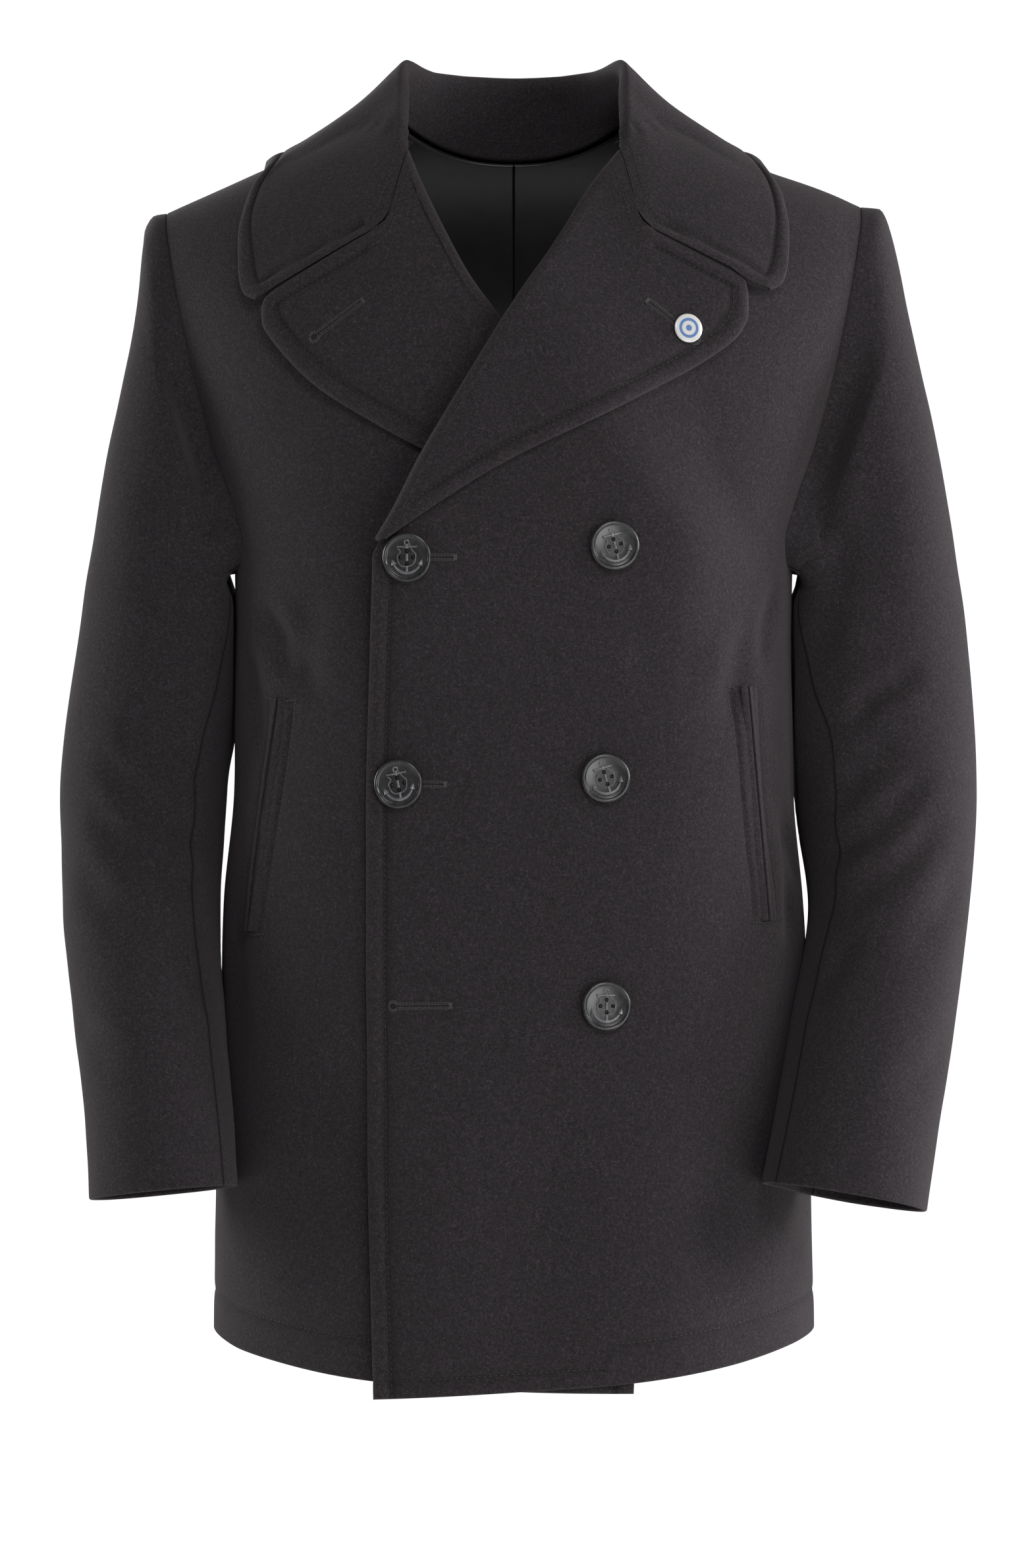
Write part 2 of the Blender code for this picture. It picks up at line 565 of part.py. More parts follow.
def side_and_armhole(side, below, above):
    """The side seam up to the armpit and the armhole up to the shoulder, in spans of each."""
    crown = FRONT_CROWN if side == "front" else BACK_CROWN
    z = np.linspace(SIDE_HEM, -ARMPIT_DROP, below + 1)[:-1]
    x = np.full_like(z, 0.18)
    for _ in range(20):
        reach = reach_at(x, z, crown)
        x = half_width(drop_of(reach, crown))
    girth_up, reach_up = armhole(np.linspace(180, 0, above + 1), side)
    girth = np.concatenate([np.full(below, pi / 2), girth_up])
    return np.stack([girth, np.concatenate([reach, reach_up])], axis=-1)


def ridge_girth(x):
    return float(girth_at(x, 0.0))


def spans(*stops):
    """Numbers from stop to stop, as (start, spans, next, spans, last)."""
    parts = []
    for i in range(0, len(stops) - 2, 2):
        parts.append(np.linspace(stops[i], stops[i + 2], stops[i + 1] + 1)[:-1])
    return np.concatenate([*parts, [stops[-1]]])


def back_neckline(share):
    """Girth and reach of the back's neckline, from the centre (0) to the side of the neck (1)."""
    girth = pi + share * (pi - ridge_girth(NECK_HALF_WIDTH) - pi)
    return np.stack([girth, NECK_DEPTH * np.sqrt(np.clip(1 - share ** 2, 0, 1))], axis=-1)


def front_neckline(share, left, start):
    """Girth and reach of a front's neckline, from its start (0) to the side of the neck (1)."""
    girth, reach, _ = lifted_coordinates(*start, 0.0, left)
    start = np.array([girth, reach])
    neck = np.array([ridge_girth(NECK_HALF_WIDTH), 0.0])
    return start + share[:, None] * (neck - start)


def fold_share(z):
    least, start, end = FOLD_TAPER
    return 1 - (1 - least) * smoothstep(-np.asarray(z), -start, -end)


def front_edge_points(z, left):
    """Girth and reach of the front's edge at heights from the hem to the collar."""
    edge, roll = (LEFT_EDGE, LEFT_ROLL) if left else (RIGHT_EDGE, RIGHT_ROLL)
    corner_x, corner_z = FRONT_CORNER
    cut_back = corner_x - TUCK - roll_line(roll, corner_z)
    folded = roll_line(roll, z) + TUCK * fold_share(z) + cut_back * smoothstep(z, corner_z - 0.035, corner_z)
    x = np.where(z < roll[-1][1] - 0.004, column(edge, EDGE_COLUMNS, "x", z), folded)
    girth, reach, _ = lifted_coordinates(x, z, 0.0, left)
    return np.stack([girth, reach], axis=-1)


def front_panel(left):
    """One front, from its edge to the side seam, drawn as the wearer's left and then mirrored."""
    hem = LEFT_HEM if left else RIGHT_HEM
    edge_foot = hem[0][1]
    z = spans(edge_foot, HEM_TO_BREAK, -0.2850, 1, -0.2775, BREAK_TO_COLLAR - 1, FRONT_CORNER[1])
    first = front_edge_points(z, left)
    neckline = front_neckline(np.linspace(0, 1, COLLAR_TO_NECK + 1)[1:], left, FRONT_CORNER)
    first = np.concatenate([first, neckline])
    last = side_and_armhole("front", HEM_TO_BREAK, BREAK_TO_COLLAR + COLLAR_TO_NECK)
    across = np.linspace(0, 1, FRONT_ACROSS)
    girth = first[0, 0] + across * (pi / 2 - first[0, 0])
    hem_x = surface(girth, first[0, 1])[..., 0]
    hem_z = column(hem, HEM_COLUMNS, "z", hem_x)
    bottom = np.stack([girth, reach_at(hem_x, hem_z, FRONT_CROWN)], axis=-1)
    bottom[0], bottom[-1] = first[0], last[0]
    top = np.stack([first[-1, 0] + across * (last[-1, 0] - first[-1, 0]), np.zeros(FRONT_ACROSS)], axis=-1)
    patch = coons(bottom, top, first, last)
    girth = np.minimum(patch[..., 0], pi / 2 - SEAM_GAP / 2 / 0.12)
    reach = np.maximum(patch[..., 1], SEAM_GAP)
    shell = surface(girth, reach)
    lift = overlap_lift(shell[..., 0], shell[..., 2]) if left else 0.0 * reach
    name = "front_left" if left else "front_right"
    return closed_wall(name, body_point(girth, reach, lift), body_point(girth, reach, lift - WALL), left)


def back_panel(left):
    """Half the back, from the centre seam to the side seam and armhole."""
    rows = HEM_TO_BREAK + BREAK_TO_COLLAR + COLLAR_TO_NECK + 1
    hem_reach = float(reach_at(0.0, BACK_HEM, BACK_CROWN))
    first = np.stack([np.full(rows, pi), np.linspace(hem_reach, NECK_DEPTH, rows)], axis=-1)
    last = side_and_armhole("back", HEM_TO_BREAK, rows - 1 - HEM_TO_BREAK)
    last[:, 0] = pi - last[:, 0]
    across = spans(0.0, BACK_ACROSS[0], NECK_TURN, BACK_ACROSS[1], 1.0)
    bottom = first[0] + across[:, None] * (last[0] - first[0])
    neckline = back_neckline(np.minimum(across / NECK_TURN, 1))
    shoulder = np.interp(across, (NECK_TURN, 1), (neckline[-1, 0], last[-1, 0]))
    top = np.where((across < NECK_TURN)[:, None], neckline, np.stack([shoulder, 0 * shoulder], axis=-1))
    patch = coons(bottom, top, first, last)
    girth = np.clip(patch[..., 0], pi / 2 + SEAM_GAP / 2 / 0.12, pi - SEAM_GAP / 2 / 0.10)
    reach = np.maximum(patch[..., 1], SEAM_GAP)
    name = "back_left" if left else "back_right"
    lower = np.full_like(reach, -WALL)
    return closed_wall(name, body_point(girth, reach), body_point(girth, reach, lower), left)


# ---- lapels


def lapel(left):
    """The facing: it shows on the turned-back lapel, rolls over the front's edge and ends inside."""
    shape = LEFT_LAPEL if left else RIGHT_LAPEL
    t = np.linspace(0, 1, LEAF_ALONG)
    t = (t + smoothstep(t, 0, 1)) / 2
    w = np.linspace(0, 1, LEAF_ACROSS)
    roll = along(shape["roll"], t)
    foot = np.array([shape["roll"][-1], shape["outer"][-1]])
    leaf = coons(np.array(shape["top"]), along(foot, w), roll, along(shape["outer"], t))
    heading = np.gradient(roll, axis=0)
    heading /= np.linalg.norm(heading, axis=1, keepdims=True)
    across_roll = np.stack([-heading[:, 1], heading[:, 0]], axis=-1)
    # The top row leaves along the gorge seam, the others square to the roll line.
    gorge = np.array(shape["top"][1]) - np.array(shape["top"][0])
    mix = smoothstep(t, 0.0, 0.16)[:, None]
    outwards = mix * across_roll + (1 - mix) * gorge / np.linalg.norm(gorge)
    outwards /= np.linalg.norm(outwards, axis=1, keepdims=True)
    narrow = np.linalg.norm(leaf[:, -1] - leaf[:, 0], axis=1)
    stand_off = shape["tip_lift"] * (1 - smoothstep(t, 0.0, 0.55))[:, None] * w[None, :] ** 2
    skins = {"outer": [], "inner": []}
    for out, height, inner_out, inner_height in FOLD:
        for skin, o, h in (("outer", out, height), ("inner", inner_out, inner_height)):
            taper = fold_share(roll[:, 1])
            place = roll + outwards * np.minimum(o * np.where(o > TUCK, 1, taper), narrow)[:, None]
            skins[skin].append(on_front(place[:, 0], place[:, 1], np.full(LEAF_ALONG, h), left))
    for c in range(1, LEAF_ACROSS):
        start = np.minimum(TUCK / np.maximum(narrow, 0.001), 0.7)
        share = np.where(w[c] < 1, start + (1 - start) * w[c], 1.0)
        share[0] = w[c]
        place = roll + (leaf[:, c] - roll) / w[c] * share[:, None]
        for skin, h in (("outer", LEAF_TOP), ("inner", LEAF_BOTTOM)):
            skins[skin].append(on_front(place[:, 0], place[:, 1], h + stand_off[:, c], left))
    name = "lapel_left" if left else "lapel_right"
    return closed_wall(name, np.stack(skins["outer"], 1), np.stack(skins["inner"], 1), left)


# ---- collar


def neck_band(s, left):
    """The collar's foot on the necklines, as points of its skin on the neck's side."""
    back = s <= NECK_SIDE
    at_back = back_neckline(np.clip(s / NECK_SIDE, 0, 1))
    share = 0.16 + 0.84 * np.clip((1 - s) / (1 - NECK_SIDE), 0, 1)
    at_front = front_neckline(share, left, COLLAR_START)
    line = np.where(back[:, None], at_back, at_front)
    foot = surface(line[:, 0], line[:, 1])
    inwards = np.array([0.0, -0.012, 0.0]) - foot * (1, 1, 0)
    inwards /= np.linalg.norm(inwards, axis=1, keepdims=True)
    return foot + inwards * 0.0036 + np.array([0, 0, 0.0012])


def half_collar(left):
    """Points of the collar's outer skin on one side, rows from the centre back to the roll line
    and columns from the neck seam over the turn to the outer edge."""
    s = 1 - np.linspace(1, 0, COLLAR_ALONG) ** 1.2
    ends, edges = (LEFT_COLLAR_END, LEFT_COLLAR_EDGE) if left else (RIGHT_COLLAR_END, RIGHT_COLLAR_EDGE)
    w = np.linspace(0, 1, len(ends) - 1) ** 1.2
    end = on_front(*np.array(ends).T, left)
    foot = neck_band(s, left)
    foot[-1] = (foot[-1] + end[0]) / 2
    stand_end = foot[-1] * 0.4 + end[0] * 0.6
    knots = [at for at, _ in COLLAR_SECTIONS] + [1.0]
    sections = [np.concatenate([[section[0]], along(section[1:], w)]) for _, section in COLLAR_SECTIONS]
    sections.append(np.concatenate([[stand_end], end[1:]]))
    # The other side's nearest section goes first, so the two halves meet smoothly.
    knots = [-knots[1]] + knots
    sections = [sections[1] * (-1, 1, 1)] + sections
    skin = np.concatenate([foot[:, None], smooth(knots, np.array(sections), s)], axis=1)
    # From the shoulder on, the outer edge keeps to its outline.
    seen = s >= edges[0][0]
    x, z, height = (column(edges, COLLAR_EDGE_COLUMNS, name, s[seen]) for name in COLLAR_EDGE_COLUMNS[1:])
    shift = on_front(x, z, height, left) - skin[seen, -1]
    ease = smoothstep(s[seen], edges[0][0] - 0.12, edges[0][0] + 0.04)[:, None, None]
    skin[seen, 2:] += ease * shift[:, None] * w[None, :, None] ** 2
    return skin


def collar():
    halves = {}
    for left in (True, False):
        skin = half_collar(left)
        need = np.full(skin[:-1, 4:].shape[:-1], COLLAR_WALL + LAYER_GAP + 0.0011)
        skin[:-1, 4:] = kept_clear(skin[:-1, 4:], body_sheet(left), need)
        halves[left] = skin
    mirror = np.array([-1.0, 1.0, 1.0])
    skin = np.concatenate([halves[False][:0:-1] * mirror, halves[True]])
    normal = grid_normals(skin)
    if normal[COLLAR_ALONG - 1, -2, 1] < 0:
        normal = -normal
    under = skin - normal * COLLAR_WALL
    # The ends meet the lapels squarely.
    for row, ends, left in ((-1, LEFT_COLLAR_END, True), (0, RIGHT_COLLAR_END, False)):
        x, z, height = np.array(ends[2:]).T
        under[row, 3:] = on_front(x, z, height - COLLAR_WALL, left) * (1 if left else mirror)
    return closed_wall("collar", skin, under)


# ---- sleeves


def armhole_ring(clock):
    """Points of the sleeve's end at the armhole on the wearer's left, by clock round the front."""
    step = 0.5
    points = np.empty((3, len(clock), 3))
    for k, shifted in enumerate((clock - step, clock, clock + step)):
        shifted = np.mod(shifted, 360)
        for side, chosen in (("front", shifted <= 180), ("back", shifted > 180)):
            girth, reach = armhole(np.where(shifted <= 180, shifted, 360 - shifted)[chosen], side)
            points[k, chosen] = surface(girth if side == "front" else pi - girth, reach)
    ring = points[1]
    heading = points[2] - points[0]
    centre = np.array([ring[:, 0].mean(), 0.0, -(ARMPIT_DROP + 0.063) / 2])
    inwards = (centre - ring) / np.linalg.norm(centre - ring, axis=1, keepdims=True)
    away = np.array([1.0, 0.0, 0.0]) + 0.9 * inwards
    heading /= np.linalg.norm(heading, axis=1, keepdims=True)
    away -= heading * (away * heading).sum(1, keepdims=True)
    away /= np.linalg.norm(away, axis=1, keepdims=True)
    return ring + away * SEAM_GAP * 2.3


def sleeve_points(left, clock, share):
    """Points of the sleeve's outer skin for pairs of clock and share of its length."""
    table, head = (LEFT_SLEEVE, LEFT_SLEEVE_HEAD) if left else (RIGHT_SLEEVE, RIGHT_SLEEVE_HEAD)
    ring = armhole_ring(clock)
    rings = [ring]
    folded = np.where(np.mod(clock, 360) <= 180, np.mod(clock, 360), 360 - np.mod(clock, 360))
    for place in ("crown", "turn"):
        out = column(head, SLEEVE_HEAD_COLUMNS, f"{place}_out", folded)
        down = column(head, SLEEVE_HEAD_COLUMNS, f"{place}_down", folded)
        rings.append(ring + np.stack([out, 0 * out, -down], axis=-1))
    turn = np.radians(clock)
    for k, (outer_x, outer_z, inner_x, inner_z, mid_y, half_depth, front_rise) in enumerate(table):
        # The first rings are squarer, like the armhole they leave.
        depth = np.sign(np.sin(turn)) * np.abs(np.sin(turn)) ** np.interp(k, (0, 3), (0.62, 1.0))
        middle = np.array([(outer_x + inner_x) / 2, mid_y, (outer_z + inner_z) / 2])
        sideways = np.array([(outer_x - inner_x) / 2, 0, (outer_z - inner_z) / 2])
        forwards = np.array([0, -half_depth, front_rise])
        rings.append(middle + np.outer(np.cos(turn), sideways) + np.outer(depth, forwards))
    rings = np.array(rings)
    return np.array([along(rings[:, c], share[c : c + 1])[0] for c in range(len(clock))])


def sleeve_skin(left, clock, share):
    """The sleeve's outer skin and its normals on a grid of clocks and shares."""
    shape = clock.shape
    c, s = clock.ravel(), share.ravel()
    points = sleeve_points(left, c, s)
    below, above = np.minimum(s + 0.004, 1), np.maximum(s - 0.004, 0)
    down = sleeve_points(left, c, below) - sleeve_points(left, c, above)
    round_ = sleeve_points(left, c + 1, s) - sleeve_points(left, c - 1, s)
    normal = np.cross(round_, down)
    normal /= np.linalg.norm(normal, axis=1, keepdims=True)
    return points.reshape(*shape, 3), normal.reshape(*shape, 3)


def sleeve(left):
    """Top sleeve and under sleeve, which meet at a seam at the front and one at the back."""
    seam = LEFT_SLEEVE_SEAM if left else RIGHT_SLEEVE_SEAM
    share = np.concatenate([HEAD_RINGS, np.linspace(HEAD_END, 1, SLEEVE_RINGS)])
    front_seam = column(seam, SLEEVE_SEAM_COLUMNS, "clock", share)[:, None]
    side = "left" if left else "right"
    tree = body_sheet(left)
    # Degrees each side of a seam, more where the sleeve turns down from the armpit.
    gap = np.interp(share, (0.022, 0.046, 0.10, 0.16), (2.2, 4.4, 2.6, 1.4))
    top = np.linspace(0, 1, SLEEVE_TOP_AROUND)[None, :]
    under = np.linspace(0, 1, SLEEVE_UNDER_AROUND)[None, :]
    start = BACK_SLEEVE_SEAM - 360
    clocks = {
        "sleeve_top": start + top * (front_seam - start),
        "sleeve_under": front_seam + under * (BACK_SLEEVE_SEAM - front_seam),
    }
    for name, clock in clocks.items():
        shares = np.broadcast_to(share[:, None], clock.shape)
        inset = np.zeros_like(clock)
        inset[:, 0], inset[:, -1] = gap, -gap
        skin, _ = sleeve_skin(left, clock + inset, shares)
        # Both pieces take their wall's direction at the seam itself, so their edges stay parallel.
        _, normal = sleeve_skin(left, clock, shares)
        free = len(HEAD_RINGS)
        need = np.full(clock[free:].shape, 0.0018)
        skin[free:] = kept_clear(skin[free:], tree, need)
        closed_wall(f"{name}_{side}", skin, skin - normal * WALL, left)


# ---- small pieces


def pocket_welts(left):
    """Two strips, one on each side of the pocket's slit."""
    t = np.linspace(0, 1, 9)
    side = "left" if left else "right"
    top, bottom = LEFT_POCKET if left else RIGHT_POCKET
    slit_x = top[0] + t * (bottom[0] - top[0])
    slit_z = top[1] + t * (bottom[1] - top[1])
    girth, reach, _ = lifted_coordinates(slit_x, slit_z, 0.0, left)
    metres_per_girth = 0.150
    for name, sense in (("front", -1), ("back", 1)):
        offsets = sense * (WELT_GAP / 2 + np.linspace(0, WELT_WIDTH, 2))
        g = girth[:, None] + offsets[None, :] / metres_per_girth
        r = np.repeat(reach[:, None], 2, axis=1)
        shell = surface(g, r)
        lift = overlap_lift(shell[..., 0], shell[..., 2]) if left else 0.0 * r
        base = 0.0011
        outer = body_point(g, r, lift + base + WELT_THICKNESS)
        closed_wall(f"pocket_welt_{name}_{side}", outer, body_point(g, r, lift + base), left)


def facing_matrix(place, height, left):
    """Where a flat piece sits over a front, its face along the cloth's normal."""
    x, z = place
    step = 0.008
    grid = []
    for dx, dz in ((-step, 0), (step, 0), (0, -step), (0, step)):
        grid.append(on_front(x + dx, z + dz, 0.0, left))
    normal = Vector(np.cross(grid[1] - grid[0], grid[3] - grid[2])).normalized()
    right = Vector((0, 0, 1)).cross(normal).normalized()
    up = normal.cross(right)
    turn = Matrix((right, up, normal)).transposed().to_4x4()
    spot = Vector(on_front(x, z, height, left))
    return Matrix.Translation(spot) @ turn


def turned_profile(name, profile, segments, finish):
    """A round piece made by turning a half profile of (radius, height) about its axis."""
    shape = bmesh.new()
    rings = []
    for radius, height in profile:
        if radius == 0:
            rings.append([shape.verts.new((0, 0, height))])
        else:
            turns = np.arange(segments) * 2 * pi / segments
            rings.append([shape.verts.new((radius * np.cos(a), radius * np.sin(a), height)) for a in turns])
    for first, second in zip(rings, rings[1:]):
        for i in range(segments):
            j = (i + 1) % segments
            corners = [first[i % len(first)], first[j % len(first)]]
            corners += [second[j % len(second)], second[i % len(second)]]
            shape.faces.new(list(dict.fromkeys(corners)))
    bmesh.ops.recalc_face_normals(shape, faces=shape.faces)
    mesh = bpy.data.meshes.new(name)
    shape.to_mesh(mesh)
    shape.free()
    mesh.shade_smooth()
    mesh.set_sharp_from_angle(angle=0.6)
    return add_object(name, mesh, finish)


def button(name, place):
    """A four-hole button with a raised rim, standing just off the cloth."""
    radius, thick = BUTTON_DIAMETER / 2, BUTTON_THICKNESS
    profile = (
        (0, 0),
        (radius * 0.90, 0),
        (radius, thick * 0.5),
        (radius * 0.96, thick),
        (radius * 0.88, thick),
        (radius * 0.85, thick * 0.84),
        (0, thick * 0.84),
    )
    made = turned_profile(name, profile, BUTTON_SEGMENTS, PLASTIC)
    hole_radius, hole_offset = 0.0012, 0.0037
    for k in range(4):
        angle = pi / 2 * k
        bpy.ops.mesh.primitive_cylinder_add(vertices=6, radius=hole_radius, depth=thick * 4)
        cutter = bpy.context.object
        cutter.name = f"{name}_hole_{k + 1}"
        cutter.location = (hole_offset * np.cos(angle), hole_offset * np.sin(angle), 0)
        cutter.parent = made
        cutter.hide_render = True
        cutter.display_type = "WIRE"
        cut = made.modifiers.new(f"hole_{k + 1}", "BOOLEAN")
        cut.object = cutter
        cut.operation = "DIFFERENCE"
    made.matrix_world = facing_matrix(place, 0.0014, True)
    return made


def lapel_pin():
    """A plain enamelled disc on the left lapel's face."""
    radius, thick = PIN_DIAMETER / 2, PIN_THICKNESS
    profile = ((0, 0), (radius, 0), (radius, thick * 0.7), (radius * 0.93, thick), (0, thick))
    made = turned_profile("lapel_pin", profile, BUTTON_SEGMENTS, ENAMEL)
    made.matrix_world = facing_matrix(PIN_PLACE, LEAF_TOP + 0.0030, True)
    return made


def main():
    for old in list(bpy.data.objects):
        bpy.data.objects.remove(old)
    collar()
    for left in (True, False):
        front_panel(left)
        back_panel(left)
        lapel(left)
        sleeve(left)
        pocket_welts(left)
    for name, place in BUTTONS.items():
        button(name, place)
    lapel_pin()


main()
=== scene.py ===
"""The looks of a double-breasted pea coat, worn and buttoned, with no wearer inside it.

Each panel of cloth is made again from the coat's own cut, finely enough to carry its rounded
edges, sewn lines and creases, and stands for the plain wall of the frame. The sewing, the
buttonholes and the buttons' ornament are laid on the finished cloth.

Metres, +Z up. The coat faces -Y and the wearer's left side is +X. Everything about the wearer's
right is written as it looks once mirrored, so both sides read alike.
"""

from math import pi

import bmesh
import bpy
import numpy as np
from mathutils import Matrix, Vector
from mathutils.bvhtree import BVHTree


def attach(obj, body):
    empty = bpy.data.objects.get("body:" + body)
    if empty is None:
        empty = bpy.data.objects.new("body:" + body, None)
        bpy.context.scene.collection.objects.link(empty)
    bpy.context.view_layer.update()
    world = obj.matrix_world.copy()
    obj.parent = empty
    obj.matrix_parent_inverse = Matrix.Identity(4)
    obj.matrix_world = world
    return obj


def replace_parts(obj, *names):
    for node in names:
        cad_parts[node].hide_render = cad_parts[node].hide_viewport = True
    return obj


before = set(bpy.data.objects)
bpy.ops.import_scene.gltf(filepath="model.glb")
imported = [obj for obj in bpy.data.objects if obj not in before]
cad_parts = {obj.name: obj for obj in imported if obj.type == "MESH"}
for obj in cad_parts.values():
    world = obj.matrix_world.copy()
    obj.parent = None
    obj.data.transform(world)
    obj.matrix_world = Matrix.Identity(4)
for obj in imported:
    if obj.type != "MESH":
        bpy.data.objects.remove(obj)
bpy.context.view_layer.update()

# ---- the coat's cut, as the frame was built from
WALL = 0.003  # melton, interlining and lining together
NECK_HALF_WIDTH = 0.078
SHOULDER_HALF_WIDTH = 0.221
SHOULDER_SLOPE = 0.44  # fall for each metre out from the neck
ARMPIT_DROP = 0.290
LAYER_GAP = 0.001  # between cloth that lies on cloth
FRONT_CROWN = 0.18  # how far down the front has turned from the ridge to upright
BACK_CROWN = 0.14
SLOPE_FADE = 0.30  # drop at which the shoulders' slope has died out
SHOULDER_RAISE = 0.004  # of the left shoulder over the right one
WELT_WIDTH = 0.0055
WELT_GAP = 0.0012
SEAM_ROUND = 0.0009  # how far a panel's edge turns in at a seam

BODY_COLUMNS = ("drop", "half_width", "front", "back", "squareness")
BODY = (
    (0.000, 0.250, 0.130, 0.112, 2.30),
    (0.050, 0.241, 0.132, 0.115, 2.30),
    (0.100, 0.228, 0.134, 0.118, 2.30),
    (0.150, 0.214, 0.135, 0.119, 2.31),
    (0.210, 0.197, 0.136, 0.118, 2.36),
    (0.290, 0.177, 0.138, 0.114, 2.56),
    (0.350, 0.1765, 0.136, 0.109, 2.62),
    (0.430, 0.1780, 0.134, 0.105, 2.56),
    (0.500, 0.1840, 0.136, 0.107, 2.46),
    (0.620, 0.1880, 0.141, 0.115, 2.38),
    (0.800, 0.1915, 0.150, 0.127, 2.34),
)
ARMHOLE_COLUMNS = ("clock", "front_x", "back_girth")
ARMHOLE = (
    (0, 0.2210, 60.2),
    (25, 0.2195, 62.5),
    (50, 0.2145, 65.3),
    (75, 0.2060, 68.0),
    (107, 0.1905, 70.5),
    (130, 0.1765, 72.0),
    (149, 0.1700, 75.0),
    (166, 0.1715, 80.5),
    (180, 0.1770, 90.0),
)
HEM_COLUMNS = ("x", "z")
LEFT_HEM = ((-0.09, -0.8000), (0.00, -0.7945), (0.07, -0.7900), (0.135, -0.7820), (0.19, -0.7710))
RIGHT_HEM = ((-0.075, -0.7965), (0.00, -0.7945), (0.09, -0.7890), (0.17, -0.7770), (0.19, -0.7710))
SIDE_HEM = -0.771
BACK_HEM = -0.768
EDGE_COLUMNS = ("height", "x")
LEFT_EDGE = ((-0.800, -0.0855), (-0.640, -0.0895), (-0.450, -0.0905), (-0.285, -0.0860))
RIGHT_EDGE = ((-0.800, -0.0730), (-0.640, -0.0790), (-0.450, -0.0840), (-0.285, -0.0860))
LEFT_ROLL = ((0.0655, -0.0310), (0.0492, -0.0537), (0.0286, -0.0874), (-0.0067, -0.1430),
             (-0.0539, -0.2209), (-0.0747, -0.2610), (-0.0845, -0.2775))
RIGHT_ROLL = ((0.0655, -0.0310), (0.0533, -0.0626), (0.0415, -0.0874), (0.0274, -0.1144),
              (0.0066, -0.1430), (-0.0440, -0.2160), (-0.0845, -0.2775))
LEFT_LAPEL = {
    "roll": LEFT_ROLL,
    "top": ((0.0655, -0.0310), (0.0692, -0.0438), (0.0728, -0.0595), (0.0768, -0.0755), (0.0830, -0.0835),
            (0.1020, -0.0940), (0.1205, -0.1035), (0.1375, -0.1120), (0.1425, -0.1165)),
    "outer": ((0.1425, -0.1165), (0.1441, -0.1270), (0.1440, -0.1385), (0.1405, -0.1475), (0.1342, -0.1550),
              (0.0703, -0.1938), (-0.0096, -0.2335), (-0.0575, -0.2637), (-0.0775, -0.2775)),
    "tip_lift": 0.004,
}
RIGHT_LAPEL = {
    "roll": RIGHT_ROLL,
    "top": ((0.0655, -0.0310), (0.0692, -0.0438), (0.0728, -0.0595), (0.0768, -0.0755), (0.0838, -0.0838),
            (0.1020, -0.0948), (0.1225, -0.1072), (0.1450, -0.1206), (0.1530, -0.1275)),
    "outer": ((0.1530, -0.1275), (0.1552, -0.1345), (0.1547, -0.1430), (0.1495, -0.1525), (0.1221, -0.1821),
              (0.0888, -0.2038), (0.0567, -0.2215), (-0.0096, -0.2500), (-0.0775, -0.2775)),
    "tip_lift": 0.006,
}
FOLD_COLUMNS = ("out", "height", "inner_out", "inner_height")
FOLD = (
    (0.0254, -0.0072, 0.0254, -0.0046),
    (0.0134, -0.0072, 0.0134, -0.0046),
    (0.0064, -0.0072, 0.0064, -0.0046),
    (0.0018, -0.0052, 0.0047, -0.0036),
    (0.0000, 0.0000, 0.0042, -0.0012),
    (0.0018, 0.0052, 0.0047, 0.0008),
    (0.0064, 0.0070, 0.0068, 0.0018),
)
TUCK = 0.0069  # from a roll line back to the edge of the front inside the fold
LEAF_TOP = 0.0068  # height of a turned-back lapel's face over the front
LEAF_BOTTOM = 0.0022
FOLD_TAPER = (0.45, -0.250, -0.2775)  # the fold's least share, and the heights where it narrows
COLLAR_SECTIONS = (
    (0.00, ((0, 0.0640, 0.0150), (0, 0.0665, 0.0290), (0, 0.0725, 0.0345), (0, 0.0815, 0.0290),
            (0, 0.0880, 0.0020), (0, 0.0970, -0.0350), (0, 0.1080, -0.0700))),
    (0.28, ((0.0435, 0.0475, 0.0160), (0.0445, 0.0480, 0.0300), (0.0490, 0.0520, 0.0355),
            (0.0565, 0.0580, 0.0300), (0.0690, 0.0665, 0.0030), (0.0850, 0.0780, -0.0290),
            (0.1010, 0.0900, -0.0570))),
    (0.55, ((0.0705, 0.0020, 0.0160), (0.0660, 0.0020, 0.0305), (0.0695, 0.0030, 0.0360),
            (0.0765, 0.0040, 0.0300), (0.0960, 0.0060, 0.0095), (0.1210, 0.0100, -0.0110),
            (0.1490, 0.0140, -0.0255))),
    (0.78, ((0.0700, -0.0350, -0.0020), (0.0660, -0.0330, 0.0080), (0.0690, -0.0350, 0.0120),
            (0.0765, -0.0390, 0.0070), (0.1010, -0.0440, -0.0120), (0.1320, -0.0490, -0.0310),
            (0.1635, -0.0520, -0.0530))),
    (0.90, ((0.0690, -0.0560, -0.0200), (0.0662, -0.0560, -0.0110), (0.0682, -0.0590, -0.0080),
            (0.0745, -0.0640, -0.0140), (0.0960, -0.0700, -0.0400), (0.1300, -0.0760, -0.0620),
            (0.1695, -0.0700, -0.0860))),
    (0.96, ((0.0688, -0.0640, -0.0255), (0.0660, -0.0660, -0.0200), (0.0680, -0.0690, -0.0190),
            (0.0720, -0.0740, -0.0280), (0.0860, -0.0850, -0.0570), (0.1250, -0.0930, -0.0830),
            (0.1690, -0.0800, -0.1080))),
)
GORGE = ((0.0673, -0.0300, -0.0047), (0.0655, -0.0293, 0.0001), (0.0676, -0.0300, 0.0052),
         (0.0706, -0.0425, 0.0068), (0.0742, -0.0586, 0.0070), (0.0781, -0.0740, 0.0072))
